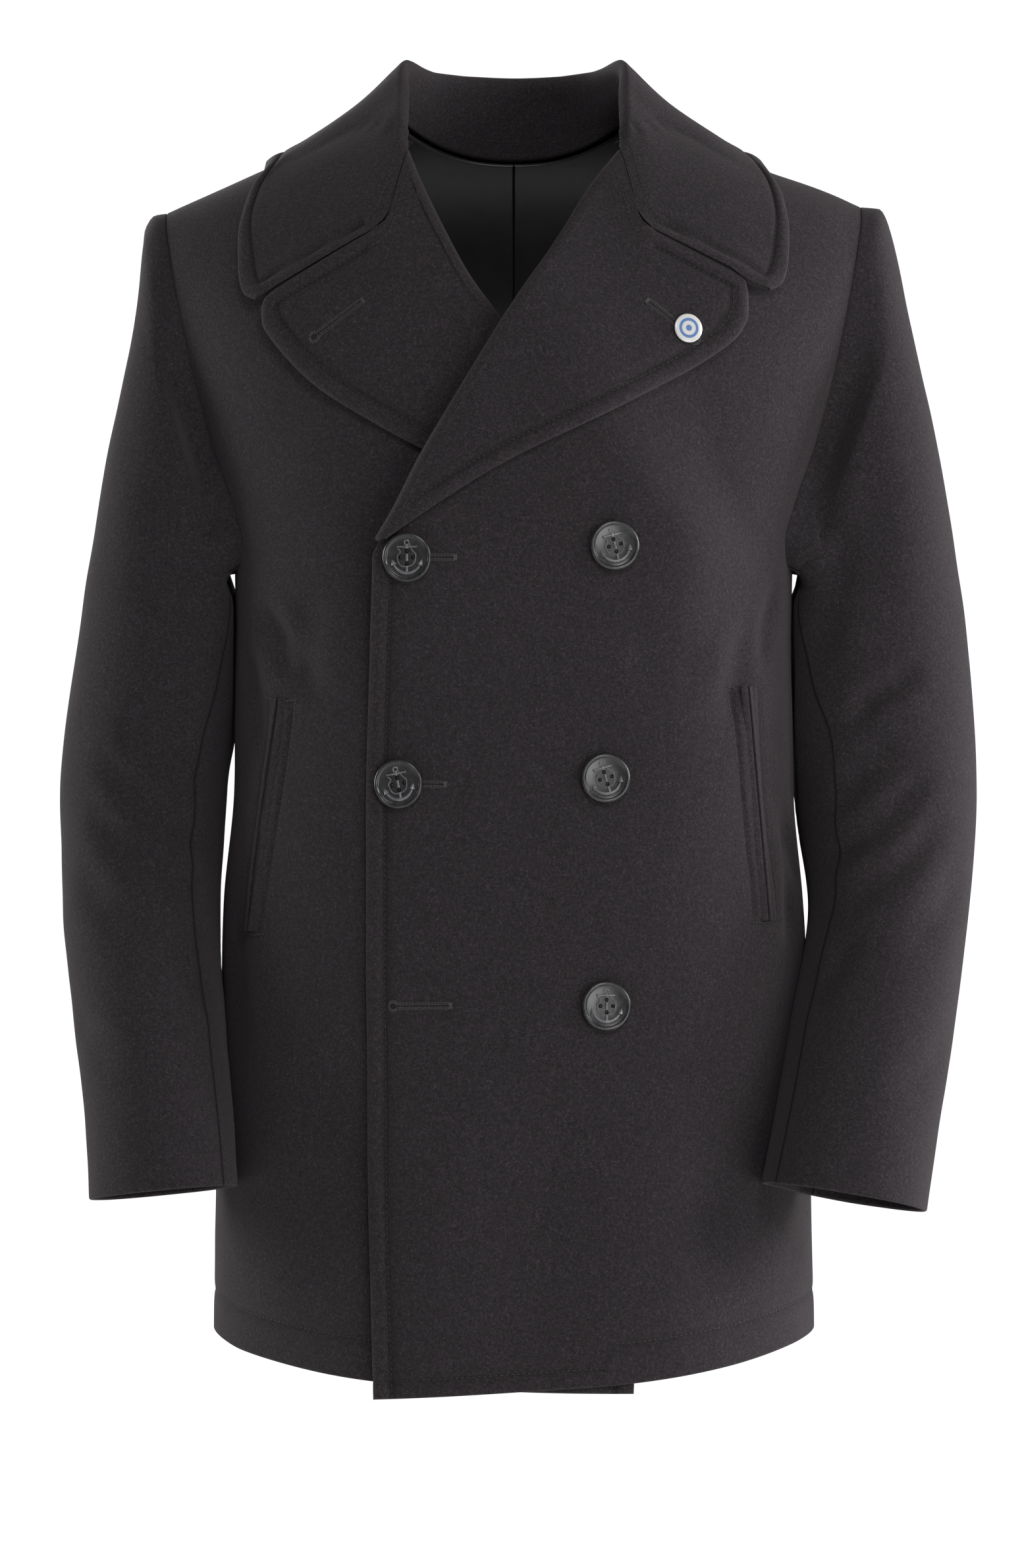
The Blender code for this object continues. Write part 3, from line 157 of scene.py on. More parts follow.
LEFT_COLLAR_END = GORGE + (
    (0.0845, -0.0818, 0.0082), (0.0965, -0.0884, 0.0092), (0.1085, -0.0950, 0.0100),
    (0.1205, -0.1015, 0.0107), (0.1330, -0.1082, 0.0115), (0.1450, -0.1142, 0.0122),
    (0.1590, -0.1210, 0.0125),
)
RIGHT_COLLAR_END = GORGE + (
    (0.0850, -0.0820, 0.0082), (0.0965, -0.0890, 0.0092), (0.1085, -0.0963, 0.0100),
    (0.1205, -0.1036, 0.0107), (0.1330, -0.1112, 0.0118), (0.1450, -0.1184, 0.0126),
    (0.1600, -0.1275, 0.0132),
)
COLLAR_EDGE_COLUMNS = ("along", "x", "z", "height")
LEFT_COLLAR_EDGE = ((0.66, 0.1620, -0.0390, 0.0075), (0.75, 0.1695, -0.0600, 0.0075),
                    (0.84, 0.1722, -0.0830, 0.0080), (0.92, 0.1708, -0.1020, 0.0100),
                    (0.97, 0.1670, -0.1165, 0.0120), (1.00, 0.1590, -0.1210, 0.0125))
RIGHT_COLLAR_EDGE = ((0.66, 0.1575, -0.0395, 0.0100), (0.75, 0.1680, -0.0620, 0.0075),
                     (0.84, 0.1722, -0.0870, 0.0080), (0.92, 0.1712, -0.1080, 0.0105),
                     (0.97, 0.1678, -0.1225, 0.0128), (1.00, 0.1600, -0.1275, 0.0132))
COLLAR_WALL = 0.0045
NECK_TURN = 0.36  # where along the back's top row the neckline ends and the shoulder begins
NECK_DEPTH = 0.080
NECK_SIDE = 0.55  # where along the collar the side of the neck is
# Where the collar's seam starts on a front, and the corner to which the front itself is cut.
COLLAR_START = (0.0674, -0.0375)
FRONT_CORNER = (0.0715, -0.0470)
# Sleeve rings from the cap to the cuff: the outer and the inner point seen from the front, then
# the ring's middle and half depth seen from the side, and how far its front is above its middle.
LEFT_SLEEVE = (
    (0.2493, -0.1250, 0.1805, -0.3000, 0.000, 0.0640, 0.000),
    (0.2721, -0.2250, 0.1720, -0.3220, 0.002, 0.0690, 0.000),
    (0.2891, -0.3400, 0.1680, -0.3620, 0.004, 0.0690, -0.002),
    (0.2956, -0.4300, 0.1760, -0.4240, 0.001, 0.0660, 0.002),
    (0.2868, -0.5100, 0.1858, -0.5000, -0.028, 0.0620, 0.008),
    (0.2745, -0.5850, 0.1728, -0.5700, -0.062, 0.0580, 0.010),
    (0.2618, -0.6420, 0.1620, -0.6250, -0.091, 0.0540, 0.009),
    (0.2535, -0.6885, 0.1520, -0.6705, -0.114, 0.0505, 0.007),
)
RIGHT_SLEEVE = (
    (0.2395, -0.1250, 0.1805, -0.3000, 0.000, 0.0640, 0.000),
    (0.2599, -0.2250, 0.1720, -0.3220, 0.002, 0.0690, 0.000),
    (0.2785, -0.3400, 0.1720, -0.3620, 0.004, 0.0680, -0.002),
    (0.2892, -0.4300, 0.1826, -0.4300, 0.003, 0.0650, 0.002),
    (0.2848, -0.5100, 0.1860, -0.5050, -0.022, 0.0600, 0.007),
    (0.2742, -0.5850, 0.1800, -0.5800, -0.050, 0.0560, 0.008),
    (0.2662, -0.6400, 0.1745, -0.6330, -0.073, 0.0520, 0.007),
    (0.2620, -0.6830, 0.1705, -0.6740, -0.094, 0.0480, 0.006),
)
# How the sleeve head leaves the armhole by the same clock: out and down to its crown, then to
# where it turns down the arm.
SLEEVE_HEAD_COLUMNS = ("clock", "crown_out", "crown_down", "turn_out", "turn_down")
LEFT_SLEEVE_HEAD = ((0, 0.0120, 0.0006, 0.0180, 0.0110), (45, 0.0085, 0.0030, 0.0150, 0.0120),
                    (90, 0.0055, 0.0045, 0.0110, 0.0095), (135, 0.0038, 0.0025, 0.0075, 0.0050),
                    (180, 0.0024, 0.0002, 0.0042, 0.0005))
RIGHT_SLEEVE_HEAD = ((0, 0.0080, 0.0010, 0.0140, 0.0110), (45, 0.0065, 0.0032, 0.0125, 0.0115),
                     (90, 0.0050, 0.0045, 0.0100, 0.0090), (135, 0.0038, 0.0025, 0.0075, 0.0050),
                     (180, 0.0024, 0.0002, 0.0042, 0.0005))
SPAN = 180 / 13  # clock of one of the armhole's even steps
SLEEVE_SEAM_COLUMNS = ("share", "clock")
LEFT_SLEEVE_SEAM = ((0.0, 11 * SPAN), (0.09, 150), (0.26, 133), (0.36, 124), (0.46, 129),
                    (0.675, 143), (1.0, 149))
RIGHT_SLEEVE_SEAM = ((0.0, 11 * SPAN), (0.09, 150), (0.26, 137), (0.36, 132), (0.50, 133),
                     (0.75, 142), (1.0, 148))
BACK_SLEEVE_SEAM = 360 - 8 * SPAN
BUTTONS = {
    "button_upper_right": (-0.0645, -0.2887),
    "button_upper_left": (0.0609, -0.2815),
    "button_middle_right": (-0.0701, -0.4260),
    "button_middle_left": (0.0557, -0.4224),
    "button_lower_left": (0.0561, -0.5609),
}
PIN_PLACE = (0.1063, -0.1482)
LEFT_POCKET = ((0.1430, -0.3655), (0.1565, -0.5105))
RIGHT_POCKET = ((0.1440, -0.3730), (0.1640, -0.5175))

# ---- the sewing
STITCH_INSET = 0.012  # from a collar's, lapel's or front's edge to its sewn line
HEM_INSET = 0.011
POCKET_INSET = 0.0105  # from a pocket's slit to the sewn line each side of it
HIGH_HEM_INSET = 0.0250
POCKET_PADDING = 0.0013
STITCH_PITCH = 0.0034
STITCH_LENGTH = 0.0028
THREAD = 0.00062

# Buttonholes as seen from the front, from the eyelet to the tack. Those of the lapels slant.
FRONT_BUTTONHOLES = {
    "buttonhole_upper": ((-0.0715, -0.2887), (-0.0354, -0.2887)),
    "buttonhole_middle": ((-0.0777, -0.4258), (-0.0417, -0.4262)),
    "buttonhole_lower": ((-0.0735, -0.5612), (-0.0384, -0.5606)),
}
LAPEL_BUTTONHOLES = {
    "right": ((0.1210, -0.1532), (0.0921, -0.1311)),
    "left": ((0.1097, -0.1545), (0.0811, -0.1319)),
}
BUTTON_TILT = {
    "button_upper_right": 0,
    "button_upper_left": 14,
    "button_middle_right": 11,
    "button_middle_left": 17,
    "button_lower_left": 0,
}

# Places of the grid lines near an edge, in millimetres from it: close together on the rounded
# edge itself and again by the sewn line.
ROUND_EDGE = (0, 0.12, 0.4, 0.9, 1.5)
SEAM_EDGE = np.array([*ROUND_EDGE, 2.4, 3.8, 5.8]) / 1000
SEWN_EDGE = np.array([*ROUND_EDGE, 2.4, 3.8, 5.6, 7.4, 9.0, 10.2, 11.2, 12, 12.8, 13.8, 15.2, 17.2,
                      19.6]) / 1000
HEM_EDGE = np.array([*ROUND_EDGE, 2.6, 4.4, 6.6, 8.4, 9.6, 10.5, 11.2, 12.2, 13.8, 16.2, 18.8, 21, 22.6,
                     23.8, 25, 26.2, 27.6, 29.6]) / 1000
SIDE = {True: "left", False: "right"}  # the wearer's


# ---- tables and curves


def cubic(t, span, start, end, leaving, arriving):
    """Between two values, with a slope at each."""
    return (
        start * (1 + 2 * t) * (1 - t) ** 2
        + end * t * t * (3 - 2 * t)
        + span * (leaving * t * (1 - t) ** 2 - arriving * t * t * (1 - t))
    )


def monotone(knots, values, at):
    """Smooth curve through the knots that never overshoots between them."""
    knots, values = np.asarray(knots, float), np.asarray(values, float)
    steps = np.diff(knots)
    slopes = np.diff(values) / steps
    tangents = np.empty_like(values)
    tangents[0], tangents[-1] = slopes[0], slopes[-1]
    before, after = slopes[:-1], slopes[1:]
    same_sign = before * after > 0
    total = np.where(same_sign, before + after, 1.0)
    tangents[1:-1] = np.where(same_sign, 2 * before * after / total, 0.0)
    at = np.clip(np.asarray(at, float), knots[0], knots[-1])
    i = np.clip(np.searchsorted(knots, at) - 1, 0, len(steps) - 1)
    t = (at - knots[i]) / steps[i]
    return cubic(t, steps[i], values[i], values[i + 1], tangents[i], tangents[i + 1])


def column(table, columns, name, at):
    """One named column of a table, read smoothly at values of its first column."""
    return monotone([row[0] for row in table], [row[columns.index(name)] for row in table], at)


def along(points, shares):
    """A curve through points that never overshoots, read at shares of its length."""
    points = np.asarray(points, float)
    lengths = np.linalg.norm(np.diff(points, axis=0), axis=1)
    knots = np.concatenate([[0.0], np.cumsum(lengths)]) / lengths.sum()
    return np.stack([monotone(knots, points[:, k], shares) for k in range(points.shape[1])], axis=-1)


def smooth(knots, values, at):
    """A round curve through values at knots, which may overshoot a little between them."""
    knots, values, at = np.asarray(knots, float), np.asarray(values, float), np.asarray(at, float)
    tangents = np.gradient(values, knots, axis=0)
    i = np.clip(np.searchsorted(knots, at) - 1, 0, len(knots) - 2)
    span = (knots[i + 1] - knots[i]).reshape(-1, *[1] * (values.ndim - 1))
    t = ((at - knots[i]) / (knots[i + 1] - knots[i])).reshape(span.shape)
    return cubic(t, span, values[i], values[i + 1], tangents[i], tangents[i + 1])


def smooth_rows(points, shares, overshoots=True):
    """A curve through each row of points, read at shares of that row's length."""
    steps = np.linalg.norm(np.diff(points, axis=1), axis=2)
    knots = np.concatenate([np.zeros((len(points), 1)), np.cumsum(steps, axis=1)], axis=1)
    knots /= knots[:, -1:]
    steps = np.diff(knots, axis=1)[..., None]
    slopes = np.diff(points, axis=1) / steps
    before, after = slopes[:, :-1], slopes[:, 1:]
    if overshoots:
        inner = (before * steps[:, 1:] + after * steps[:, :-1]) / (steps[:, 1:] + steps[:, :-1])
    else:
        same_sign = before * after > 0
        inner = np.where(same_sign, 2 * before * after / np.where(same_sign, before + after, 1.0), 0.0)
    tangents = np.concatenate([slopes[:, :1], inner, slopes[:, -1:]], axis=1)
    at = np.broadcast_to(shares, (len(points), np.shape(shares)[-1]))
    i = (knots[:, None, 1:-1] <= at[:, :, None]).sum(axis=2)
    row = np.arange(len(points))[:, None]
    span = (knots[row, i + 1] - knots[row, i])[..., None]
    t = (at - knots[row, i])[..., None] / span
    return cubic(t, span, points[row, i], points[row, i + 1], tangents[row, i], tangents[row, i + 1])


def smoothstep(value, start, end):
    """0 up to the start and 1 from the end, with an even turn between."""
    t = np.clip((value - start) / (end - start), 0, 1)
    return t * t * (3 - 2 * t)


def unit(vectors):
    return vectors / np.linalg.norm(vectors, axis=-1, keepdims=True)


def lengths_along(line):
    """How far each point of a line is from its first, along it."""
    return np.concatenate([[0.0], np.cumsum(np.linalg.norm(np.diff(line, axis=0), axis=1))])


def coons(first_row, last_row, first_column, last_column, v, u):
    """A patch of points between four curves that meet at its corners, at shares v down its
    columns and u along its rows."""
    v, u = v[:, None, None], u[None, :, None]
    between_rows = (1 - v) * first_row[None] + v * last_row[None]
    between_columns = (1 - u) * first_column[:, None] + u * last_column[:, None]
    corners = (
        (1 - v) * ((1 - u) * first_row[0] + u * first_row[-1])
        + v * ((1 - u) * last_row[0] + u * last_row[-1])
    )
    return between_rows + between_columns - corners


def places(length, start, end, step, close=(0, 0, 1)):
    """Distances along a length: the given ones in from each end, and even steps between, which
    are closer from close[0] to close[1]."""
    first, last = start[-1], length - np.asarray(end)[::-1]
    runs = (first, last[0], step), (first, 0, 1), (first, 0, 1)
    if close[1]:
        runs = (first, close[0], step), (close[0], close[1], close[2]), (close[1], last[0], step)
    between = [start]
    for low, high, width in runs:
        if high > low:
            count = max(int(np.ceil((high - low) / width)), 1)
            between.append(np.linspace(low, high, count + 1)[1:])
    return np.concatenate([np.concatenate(between)[:-1], last])


# ---- the body surface


def drop_of(reach, crown):
    """Distance below the ridge after going that far down the cloth."""
    turn = np.clip(reach / crown, 0, pi / 2)
    return crown * (1 - np.cos(turn)) + np.maximum(reach - crown * pi / 2, 0)


def shoulder_fall(x, drop):
    slope = SHOULDER_SLOPE * np.maximum(np.abs(x) - NECK_HALF_WIDTH, 0)
    return slope * np.clip(1 - drop / SLOPE_FADE, 0, 1) ** 2


def half_width(drop):
    return column(BODY, BODY_COLUMNS, "half_width", drop)


def squareness(drop):
    return column(BODY, BODY_COLUMNS, "squareness", drop)


def surface(girth, reach):
    """The body's outer surface, without any lift."""
    girth, reach = np.broadcast_arrays(np.asarray(girth, float), np.asarray(reach, float))
    is_front = np.abs(girth) <= pi / 2
    crown = np.where(is_front, FRONT_CROWN, BACK_CROWN)
    drop = drop_of(reach, crown)
    rounding = np.sqrt(1 - np.clip(1 - drop / crown, 0, 1) ** 2)
    front = -column(BODY, BODY_COLUMNS, "front", drop)
    back = column(BODY, BODY_COLUMNS, "back", drop)
    power = 2 / squareness(drop)
    sideways = np.sign(np.sin(girth)) * np.abs(np.sin(girth)) ** power
    forwards = np.abs(np.cos(girth)) ** power
    x = half_width(drop) * sideways
    y = np.where(is_front, front, back) * rounding * forwards
    z = -drop - shoulder_fall(x, drop)
    return np.stack([x, y, z], axis=-1)


def surface_normal(girth, reach):
    """The surface's outward direction, from small steps down it and round it."""
    step = 1e-4
    at_side = np.abs(np.abs(girth) - pi / 2) < 2 * step
    girth = np.where(at_side, np.sign(girth) * (pi / 2 - 2 * step), girth)
    down = surface(girth, reach + step) - surface(girth, np.maximum(reach - step, 0))
    over = surface(girth + step, reach) - surface(girth - step, reach)
    return unit(np.cross(down, over))


def body_point(girth, reach, lift=0.0):
    return surface(girth, reach) + surface_normal(girth, reach) * np.asarray(lift)[..., None]


def reach_at(x, z, crown):
    """How far down the cloth a height is met, on the line of a given x."""
    x, z = np.broadcast_arrays(np.asarray(x, float), np.asarray(z, float))
    low, high = np.zeros_like(z), np.full_like(z, 1.2)
    for _ in range(30):
        middle = (low + high) / 2
        drop = drop_of(middle, crown)
        above = -drop - shoulder_fall(x, drop) > z
        low, high = np.where(above, middle, low), np.where(above, high, middle)
    return (low + high) / 2


def girth_at(x, drop):
    share = np.clip(np.abs(x) / half_width(drop), 0, 1)
    return np.sign(x) * np.arcsin(share ** (squareness(drop) / 2))


def front_coordinates(x, z):
    """Girth and reach of a point on the front, from where it is seen from the front."""
    reach = reach_at(x, z, FRONT_CROWN)
    return girth_at(x, drop_of(reach, FRONT_CROWN)), reach


def roll_line(table, z):
    """x of a roll line at a height; below the break it stays where it ended."""
    heights = [-row[1] for row in table]
    return np.interp(-np.asarray(z), heights, [row[0] for row in table])


def overlap_lift(x, z):
    """How far the left front stands over the body's surface. It lies on the right front, and
    between the break point and the crossing of the roll lines on the right lapel as well."""
    fade = 0.066 + 0.040 * smoothstep(z, -0.250, -0.150)
    covered = 1 - smoothstep((x + roll_line(RIGHT_ROLL, z) - 0.008) / fade, 0, 1)
    window = smoothstep(z, -0.400, -0.270)
    edge_flare = 0.0030 * smoothstep(-z, 0.50, 0.76) * (1 - smoothstep(x, -0.08, 0.02))
    return (WALL + LAYER_GAP + 0.0004 + 0.0106 * window) * covered + edge_flare


def lifted_coordinates(x, z, height, left):
    """Girth, reach and lift of a point at some height over a front that is seen at x and z."""
    x, z, height = np.broadcast_arrays(*(np.asarray(v, float) for v in (x, z, height)))
    base_x, base_z = x.copy(), z.copy()
    for _ in range(6):
        girth, reach = front_coordinates(base_x, base_z)
        lift = height + (overlap_lift(base_x, base_z) if left else 0.0)
        point = body_point(girth, reach, lift)
        base_x = base_x + x - point[..., 0]
        base_z = np.minimum(base_z + z - point[..., 2], 0)
    return girth, reach, lift


def on_front(x, z, height, left):
    return body_point(*lifted_coordinates(x, z, height, left))


def on_back(x, z):
    """A point of the back's surface, from where it is seen."""
    reach = reach_at(x, z, BACK_CROWN)
    return surface(pi - girth_at(x, drop_of(reach, BACK_CROWN)), reach)


def armhole_height(clock):
    top = -SHOULDER_SLOPE * (SHOULDER_HALF_WIDTH - NECK_HALF_WIDTH)
    return (top - ARMPIT_DROP) / 2 + (top + ARMPIT_DROP) / 2 * np.cos(np.radians(clock))


def body_sheet(left):
    """Nearest-point search over one half of the body's panels, drawn on the wearer's left."""
    reach = np.concatenate([np.linspace(0, 0.30, 90), np.linspace(0.305, 0.88, 70)])
    girth = np.radians(np.concatenate([np.linspace(-25, 89.99, 110), np.linspace(90.01, 205, 110)]))
    g, r = np.meshgrid(girth, reach)
    shell = surface(g, r)
    on_left_front = (g < pi / 2) & left
    lift = np.where(on_left_front, overlap_lift(shell[..., 0], shell[..., 2]), 0.0)
    points = body_point(g, r, lift)
    x, _, z = quads(points, lambda corners: corners.mean(axis=0)).T
    clock = np.interp(-z, -armhole_height(np.arange(181)), np.arange(181))
    on_panel = (x < column(ARMHOLE, ARMHOLE_COLUMNS, "front_x", clock)) | (z < -ARMPIT_DROP)
    return search_over(points, on_panel)


def quads(grid, use):
    """Something worked out from the four corners of each cell of a grid."""
    corners = np.stack([grid[:-1, :-1], grid[1:, :-1], grid[1:, 1:], grid[:-1, 1:]])
    return use(corners.reshape(4, -1, *grid.shape[2:]))


def search_over(points, kept=slice(None)):
    """Nearest-point search over a grid of points."""
    faces = quads(np.arange(points[..., 0].size).reshape(points.shape[:2]), np.transpose)
    return BVHTree.FromPolygons(points.reshape(-1, 3).tolist(), faces[kept].tolist())


def kept_clear(points, tree, clearance):
    """Moves each point that is over or in the body until it stands off by its clearance."""
    moved = points.copy()
    for _ in range(2):
        for i in np.ndindex(points.shape[:-1]):
            nearest, normal, _, distance = tree.find_nearest(Vector(moved[i]))
            stands = (Vector(moved[i]) - nearest).dot(normal)
            if stands < clearance and abs(stands) > 0.8 * distance:
                moved[i] += np.array(normal) * (clearance - stands)
    return moved


def posed(points, left):
    """The points on their own side of the coat, with the left shoulder raised."""
    x, z = points[..., 0], points[..., 2]
    if not left:
        return points * (-1, 1, 1)
    share = smoothstep(x, 0.150, 0.210) * (1 - smoothstep(-z, 0.09, 0.20))
    return points + SHOULDER_RAISE * share[..., None] * (0, 0, 1)


def grid_normals(points):
    return unit(np.cross(np.gradient(points, axis=0), np.gradient(points, axis=1)))


# ---- relief: what the sewing, the folds and the wear do to the cloth


def beside(points, line):
    """For each point, its nearest place on a line as a share of the line, and the distance."""
    flat = points.reshape(-1, 3)
    line = along(line, np.linspace(0, 1, 90))
    share, distance = np.empty(len(flat)), np.empty(len(flat))
    for start in range(0, len(flat), 8000):
        gap = np.linalg.norm(flat[start : start + 8000, None] - line[None], axis=2)
        nearest = gap.argmin(axis=1)
        share[start : start + 8000] = nearest / (len(line) - 1)
        distance[start : start + 8000] = gap[np.arange(len(gap)), nearest]
    return share.reshape(points.shape[:2]), distance.reshape(points.shape[:2])


def sewn_trough(distance, depth=0.0019, width=0.0013):
    """What a sewn line does to thick cloth: a narrow groove in a wide shallow one."""
    return -depth * (0.6 * np.exp(-((distance / width) ** 2)) + 0.4 * np.exp(-((distance / 0.0048) ** 2)))


def edge_roll(distance, height=0.0012):
    """The soft roll between a free edge and the line sewn along it."""
    return height * np.sin(pi * np.clip(distance / STITCH_INSET, 0, 1))


def crease(points, line, width, depth):
    """A soft trough along a line, with a low swell on each side, fading to its ends. A negative
    depth makes it a ridge."""
    share, distance = beside(points, np.array(line))
    fade = smoothstep(share, 0, 0.35) * (1 - smoothstep(share, 0.65, 1))
    near = (distance / width) ** 2
    return -depth * fade * (1 - 0.55 * near) * np.exp(-near / 1.6)


def creased(points, soft, creases):
    """Soft relief with creases added to it, each given by its line, its width and its depth."""
    for line, width, depth in creases:
        soft = soft + crease(points, line, width, depth)
    return soft


# A fixed seed for each left piece's waves. Its right one has the next number.
WAVE_SEED = {"front": 11, "back": 21, "lapel": 31, "collar": 41, "sleeve": 51}
WAVES = 14


def unevenness(points, piece, left, height=0.00035):
    """Slow waves all over a panel, as thick wool cloth never hangs quite smooth."""
    random = np.random.default_rng(WAVE_SEED[piece] + (0 if left else 1))
    total = np.zeros(points.shape[:-1])
    for _ in range(WAVES):
        direction = random.normal(size=3)
        wave = random.uniform(0.028, 0.110)
        turn = random.uniform(0, 2 * pi)
        total += (wave / 0.07) * np.sin(points @ direction / np.linalg.norm(direction) * 2 * pi / wave + turn)
    return height * total / WAVES ** 0.5


# ---- cloth walls

BORDERS = ("first_row", "last_row", "first_column", "last_column")
HEM_TURN_UP = 0.040  # where the lining begins, from a hem
HELD_STILL = 0.018  # how far from a seam the cloth's soft relief begins
LEAST_CUT = 0.0105  # a welt's strip is cut to twice the width that shows
finished = {}  # each cloth piece's outer skin, and how far its points are from its borders
cut = {}  # each cut piece's width, length and area


def border_distances(skin):
    """How far each point of a grid is from the grid's four borders, along the cloth."""
    over = np.linalg.norm(np.diff(skin, axis=1), axis=2)
    down = np.linalg.norm(np.diff(skin, axis=0), axis=2)
    first_column = np.pad(np.cumsum(over, axis=1), ((0, 0), (1, 0)))
    first_row = np.pad(np.cumsum(down, axis=0), ((1, 0), (0, 0)))
    return {
        "first_row": first_row,
        "last_row": first_row[-1] - first_row,
        "first_column": first_column,
        "last_column": first_column[:, -1:] - first_column,
    }


def kept_lines(count, step):
    """Every line near the borders and a few of those between."""
    return np.array(sorted({*range(6), *range(6, count - 6, step), *range(count - 6, count)}))


def shell_faces(rows, columns, coarser):
    """Faces of both skins of a wall, which share the points of its border. The inner skin has
    fewer lines inside it. Also which points it has there and the cell of each inner face."""
    index = np.arange(rows * columns).reshape(rows, columns)
    corners = (index[:-1, :-1], index[:-1, 1:], index[1:, 1:], index[1:, :-1])
    faces = np.stack(corners, axis=-1).reshape(-1, 4).tolist()
    r, c = kept_lines(rows, coarser), kept_lines(columns, coarser)
    low = index.copy()
    inside = np.zeros((rows, columns), bool)
    inside[np.ix_(r[1:-1], c[1:-1])] = True
    low[inside] = rows * columns + np.arange(inside.sum())
    cells = []
    for a, b in zip(r, r[1:]):
        for d, e in zip(c, c[1:]):
            ring = [low[a, d : e + 1] if a == 0 else low[a, [d, e]]]
            ring.append(low[a + 1 : b, e] if e == columns - 1 else [])
            ring.append((low[b, d : e + 1] if b == rows - 1 else low[b, [d, e]])[::-1])
            ring.append(low[a + 1 : b, d][::-1] if d == 0 else [])
            faces.append([int(i) for part in ring for i in part][::-1])
            cells.append((a, d))
    return faces, inside, np.array(cells)


GROOVE_SHADE_DEPTH = 0.0034  # depth of a groove at which the painted shade in it is full
SEAM_SHADE_REACH = 0.0014  # how far from a seam the painted shade reaches


def cloth_wall(name, outer, inner, left=True, soft=0.0, fine=0.0, sewn=None, held=(), lined=(), coarser=3,
               pieces=()):
    """A closed wall of cloth between two skins, with round edges. `soft` is relief of the whole
    wall, which dies out at the held borders, and `fine` is relief of the outer skin. `sewn` says
    how much of a border is a seam. The inside is lining, but for a turn-up at each border in
    lined. Its cut is listed unless `pieces` is None; which pieces are given changes nothing else."""
    sewn = sewn or {}
    outer, inner = posed(outer, left), posed(inner, left)
    middle, half = (outer + inner) / 2, (outer - inner) / 2
    thickness = np.linalg.norm(half, axis=2)
    direction = half / thickness[..., None]
    distances = border_distances(middle)
    turned = np.zeros(thickness.shape)
    for border in BORDERS:
        radius = thickness + (SEAM_ROUND - thickness) * sewn.get(border, 0.0)
        turned = np.maximum(turned, 1 - np.minimum(distances[border] / radius, 1))
    rounding = np.sqrt(1 - turned ** 2)
    free = [smoothstep(distances[border], 0, HELD_STILL) for border in held]
    soft = soft * np.minimum.reduce([*free, np.ones(rounding.shape)])
    skin = middle + direction * (soft + (thickness + fine) * rounding)[..., None]
    lower = middle + direction * (soft - thickness * rounding)[..., None]

    rows, columns = skin.shape[:2]
    faces, inside, cells = shell_faces(rows, columns, coarser)
    points = np.concatenate([skin.reshape(-1, 3), lower[inside]])
    # Faces point away from the other skin.
    r, c = rows // 2, columns // 2
    across = np.cross(skin[r, c + 1] - skin[r, c], skin[r + 1, c] - skin[r, c])
    sense = 1 if np.dot(across, half[r, c]) > 0 else -1
    mesh = bpy.data.meshes.new(name)
    mesh.from_pydata(points.tolist(), [], [face[::sense] for face in faces])
    mesh.materials.append(melton)
    if lined:
        mesh.materials.append(lining)
        margin = np.minimum.reduce([distances[b] for b in lined])
        is_lining = np.zeros(len(faces), np.int32)
        is_lining[len(faces) - len(cells) :] = margin[cells[:, 0], cells[:, 1]] > HEM_TURN_UP
        mesh.polygons.foreach_set("material_index", is_lining)
    # Painted shade: how far the base colour is darkened, in the grooves of sewn lines and along seams.
    painted_groove_shade = np.clip(-np.asarray(fine) / GROOVE_SHADE_DEPTH, 0, 1) + np.zeros(thickness.shape)
    for border, share in sewn.items():
        painted_groove_shade = np.maximum(painted_groove_shade, share * np.exp(-((distances[border] / SEAM_SHADE_REACH) ** 2)))
    values = np.concatenate([painted_groove_shade.ravel(), np.zeros(len(points) - painted_groove_shade.size)])
    mesh.attributes.new("painted_groove_shade", "FLOAT", "POINT").data.foreach_set("value", values.astype(np.float32))
    mesh.shade_smooth()
    made = added(f"{name}_cloth", mesh)
    # The search's faces run the other way round from the mesh's.
    finished[name] = {"skin": skin, "distances": distances, "search": search_over(skin), "sense": -sense}
    halves = quads(middle, lambda corners: np.cross(corners[2] - corners[0], corners[3] - corners[1]) / 2)
    area = float(np.linalg.norm(halves, axis=1).sum())
    width = max(float(distances["first_column"][:, -1].max()), LEAST_CUT)
    length = float(distances["first_row"][-1].max())
    if pieces is not None:
        cut[name] = (width, length, area)
    return made


def linked(name, data):
    made = bpy.data.objects.new(name, data)
    bpy.context.scene.collection.objects.link(made)
    return made


def added(name, mesh):
    """A mesh as an object that rides on the coat and takes its finish from one of its slots."""
    made = linked(name, mesh)
    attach(made, "root")
    return made


def line_at(name, border, distance, own=None):
    """The line on a finished piece that keeps one distance from a border, as far as the piece's
    points there are that border's own."""
    skin, field = finished[name]["skin"], finished[name]["distances"][border]
    own = np.ones(field.shape, bool) if own is None else own
    if border.endswith("row"):
        skin, field, own = skin.transpose(1, 0, 2), field.T, own.T
    points = []
    for row, values, kept in zip(skin, field, own):
        passed = np.flatnonzero((values[:-1] - distance) * (values[1:] - distance) <= 0)
        if len(passed) and kept[passed[0]]:
            i = passed[0]
            t = (distance - values[i]) / (values[i + 1] - values[i])
            points.append(row[i] * (1 - t) + row[i + 1] * t)
    return np.array(points)


# ---- body panels


def armhole_by_clock(clock, side):
    """Girth and reach of the armhole seam by the clock of its table."""
    z = armhole_height(clock)
    if side == "front":
        x = column(ARMHOLE, ARMHOLE_COLUMNS, "front_x", clock)
        reach = reach_at(x, z, FRONT_CROWN)
        return girth_at(x, drop_of(reach, FRONT_CROWN)), reach
    girth = np.radians(column(ARMHOLE, ARMHOLE_COLUMNS, "back_girth", clock))
    x = np.full_like(z, SHOULDER_HALF_WIDTH)
    for _ in range(20):
        reach = reach_at(x, z, BACK_CROWN)
        drop = drop_of(reach, BACK_CROWN)
        x = half_width(drop) * np.sin(girth) ** (2 / squareness(drop))
    return girth, reach


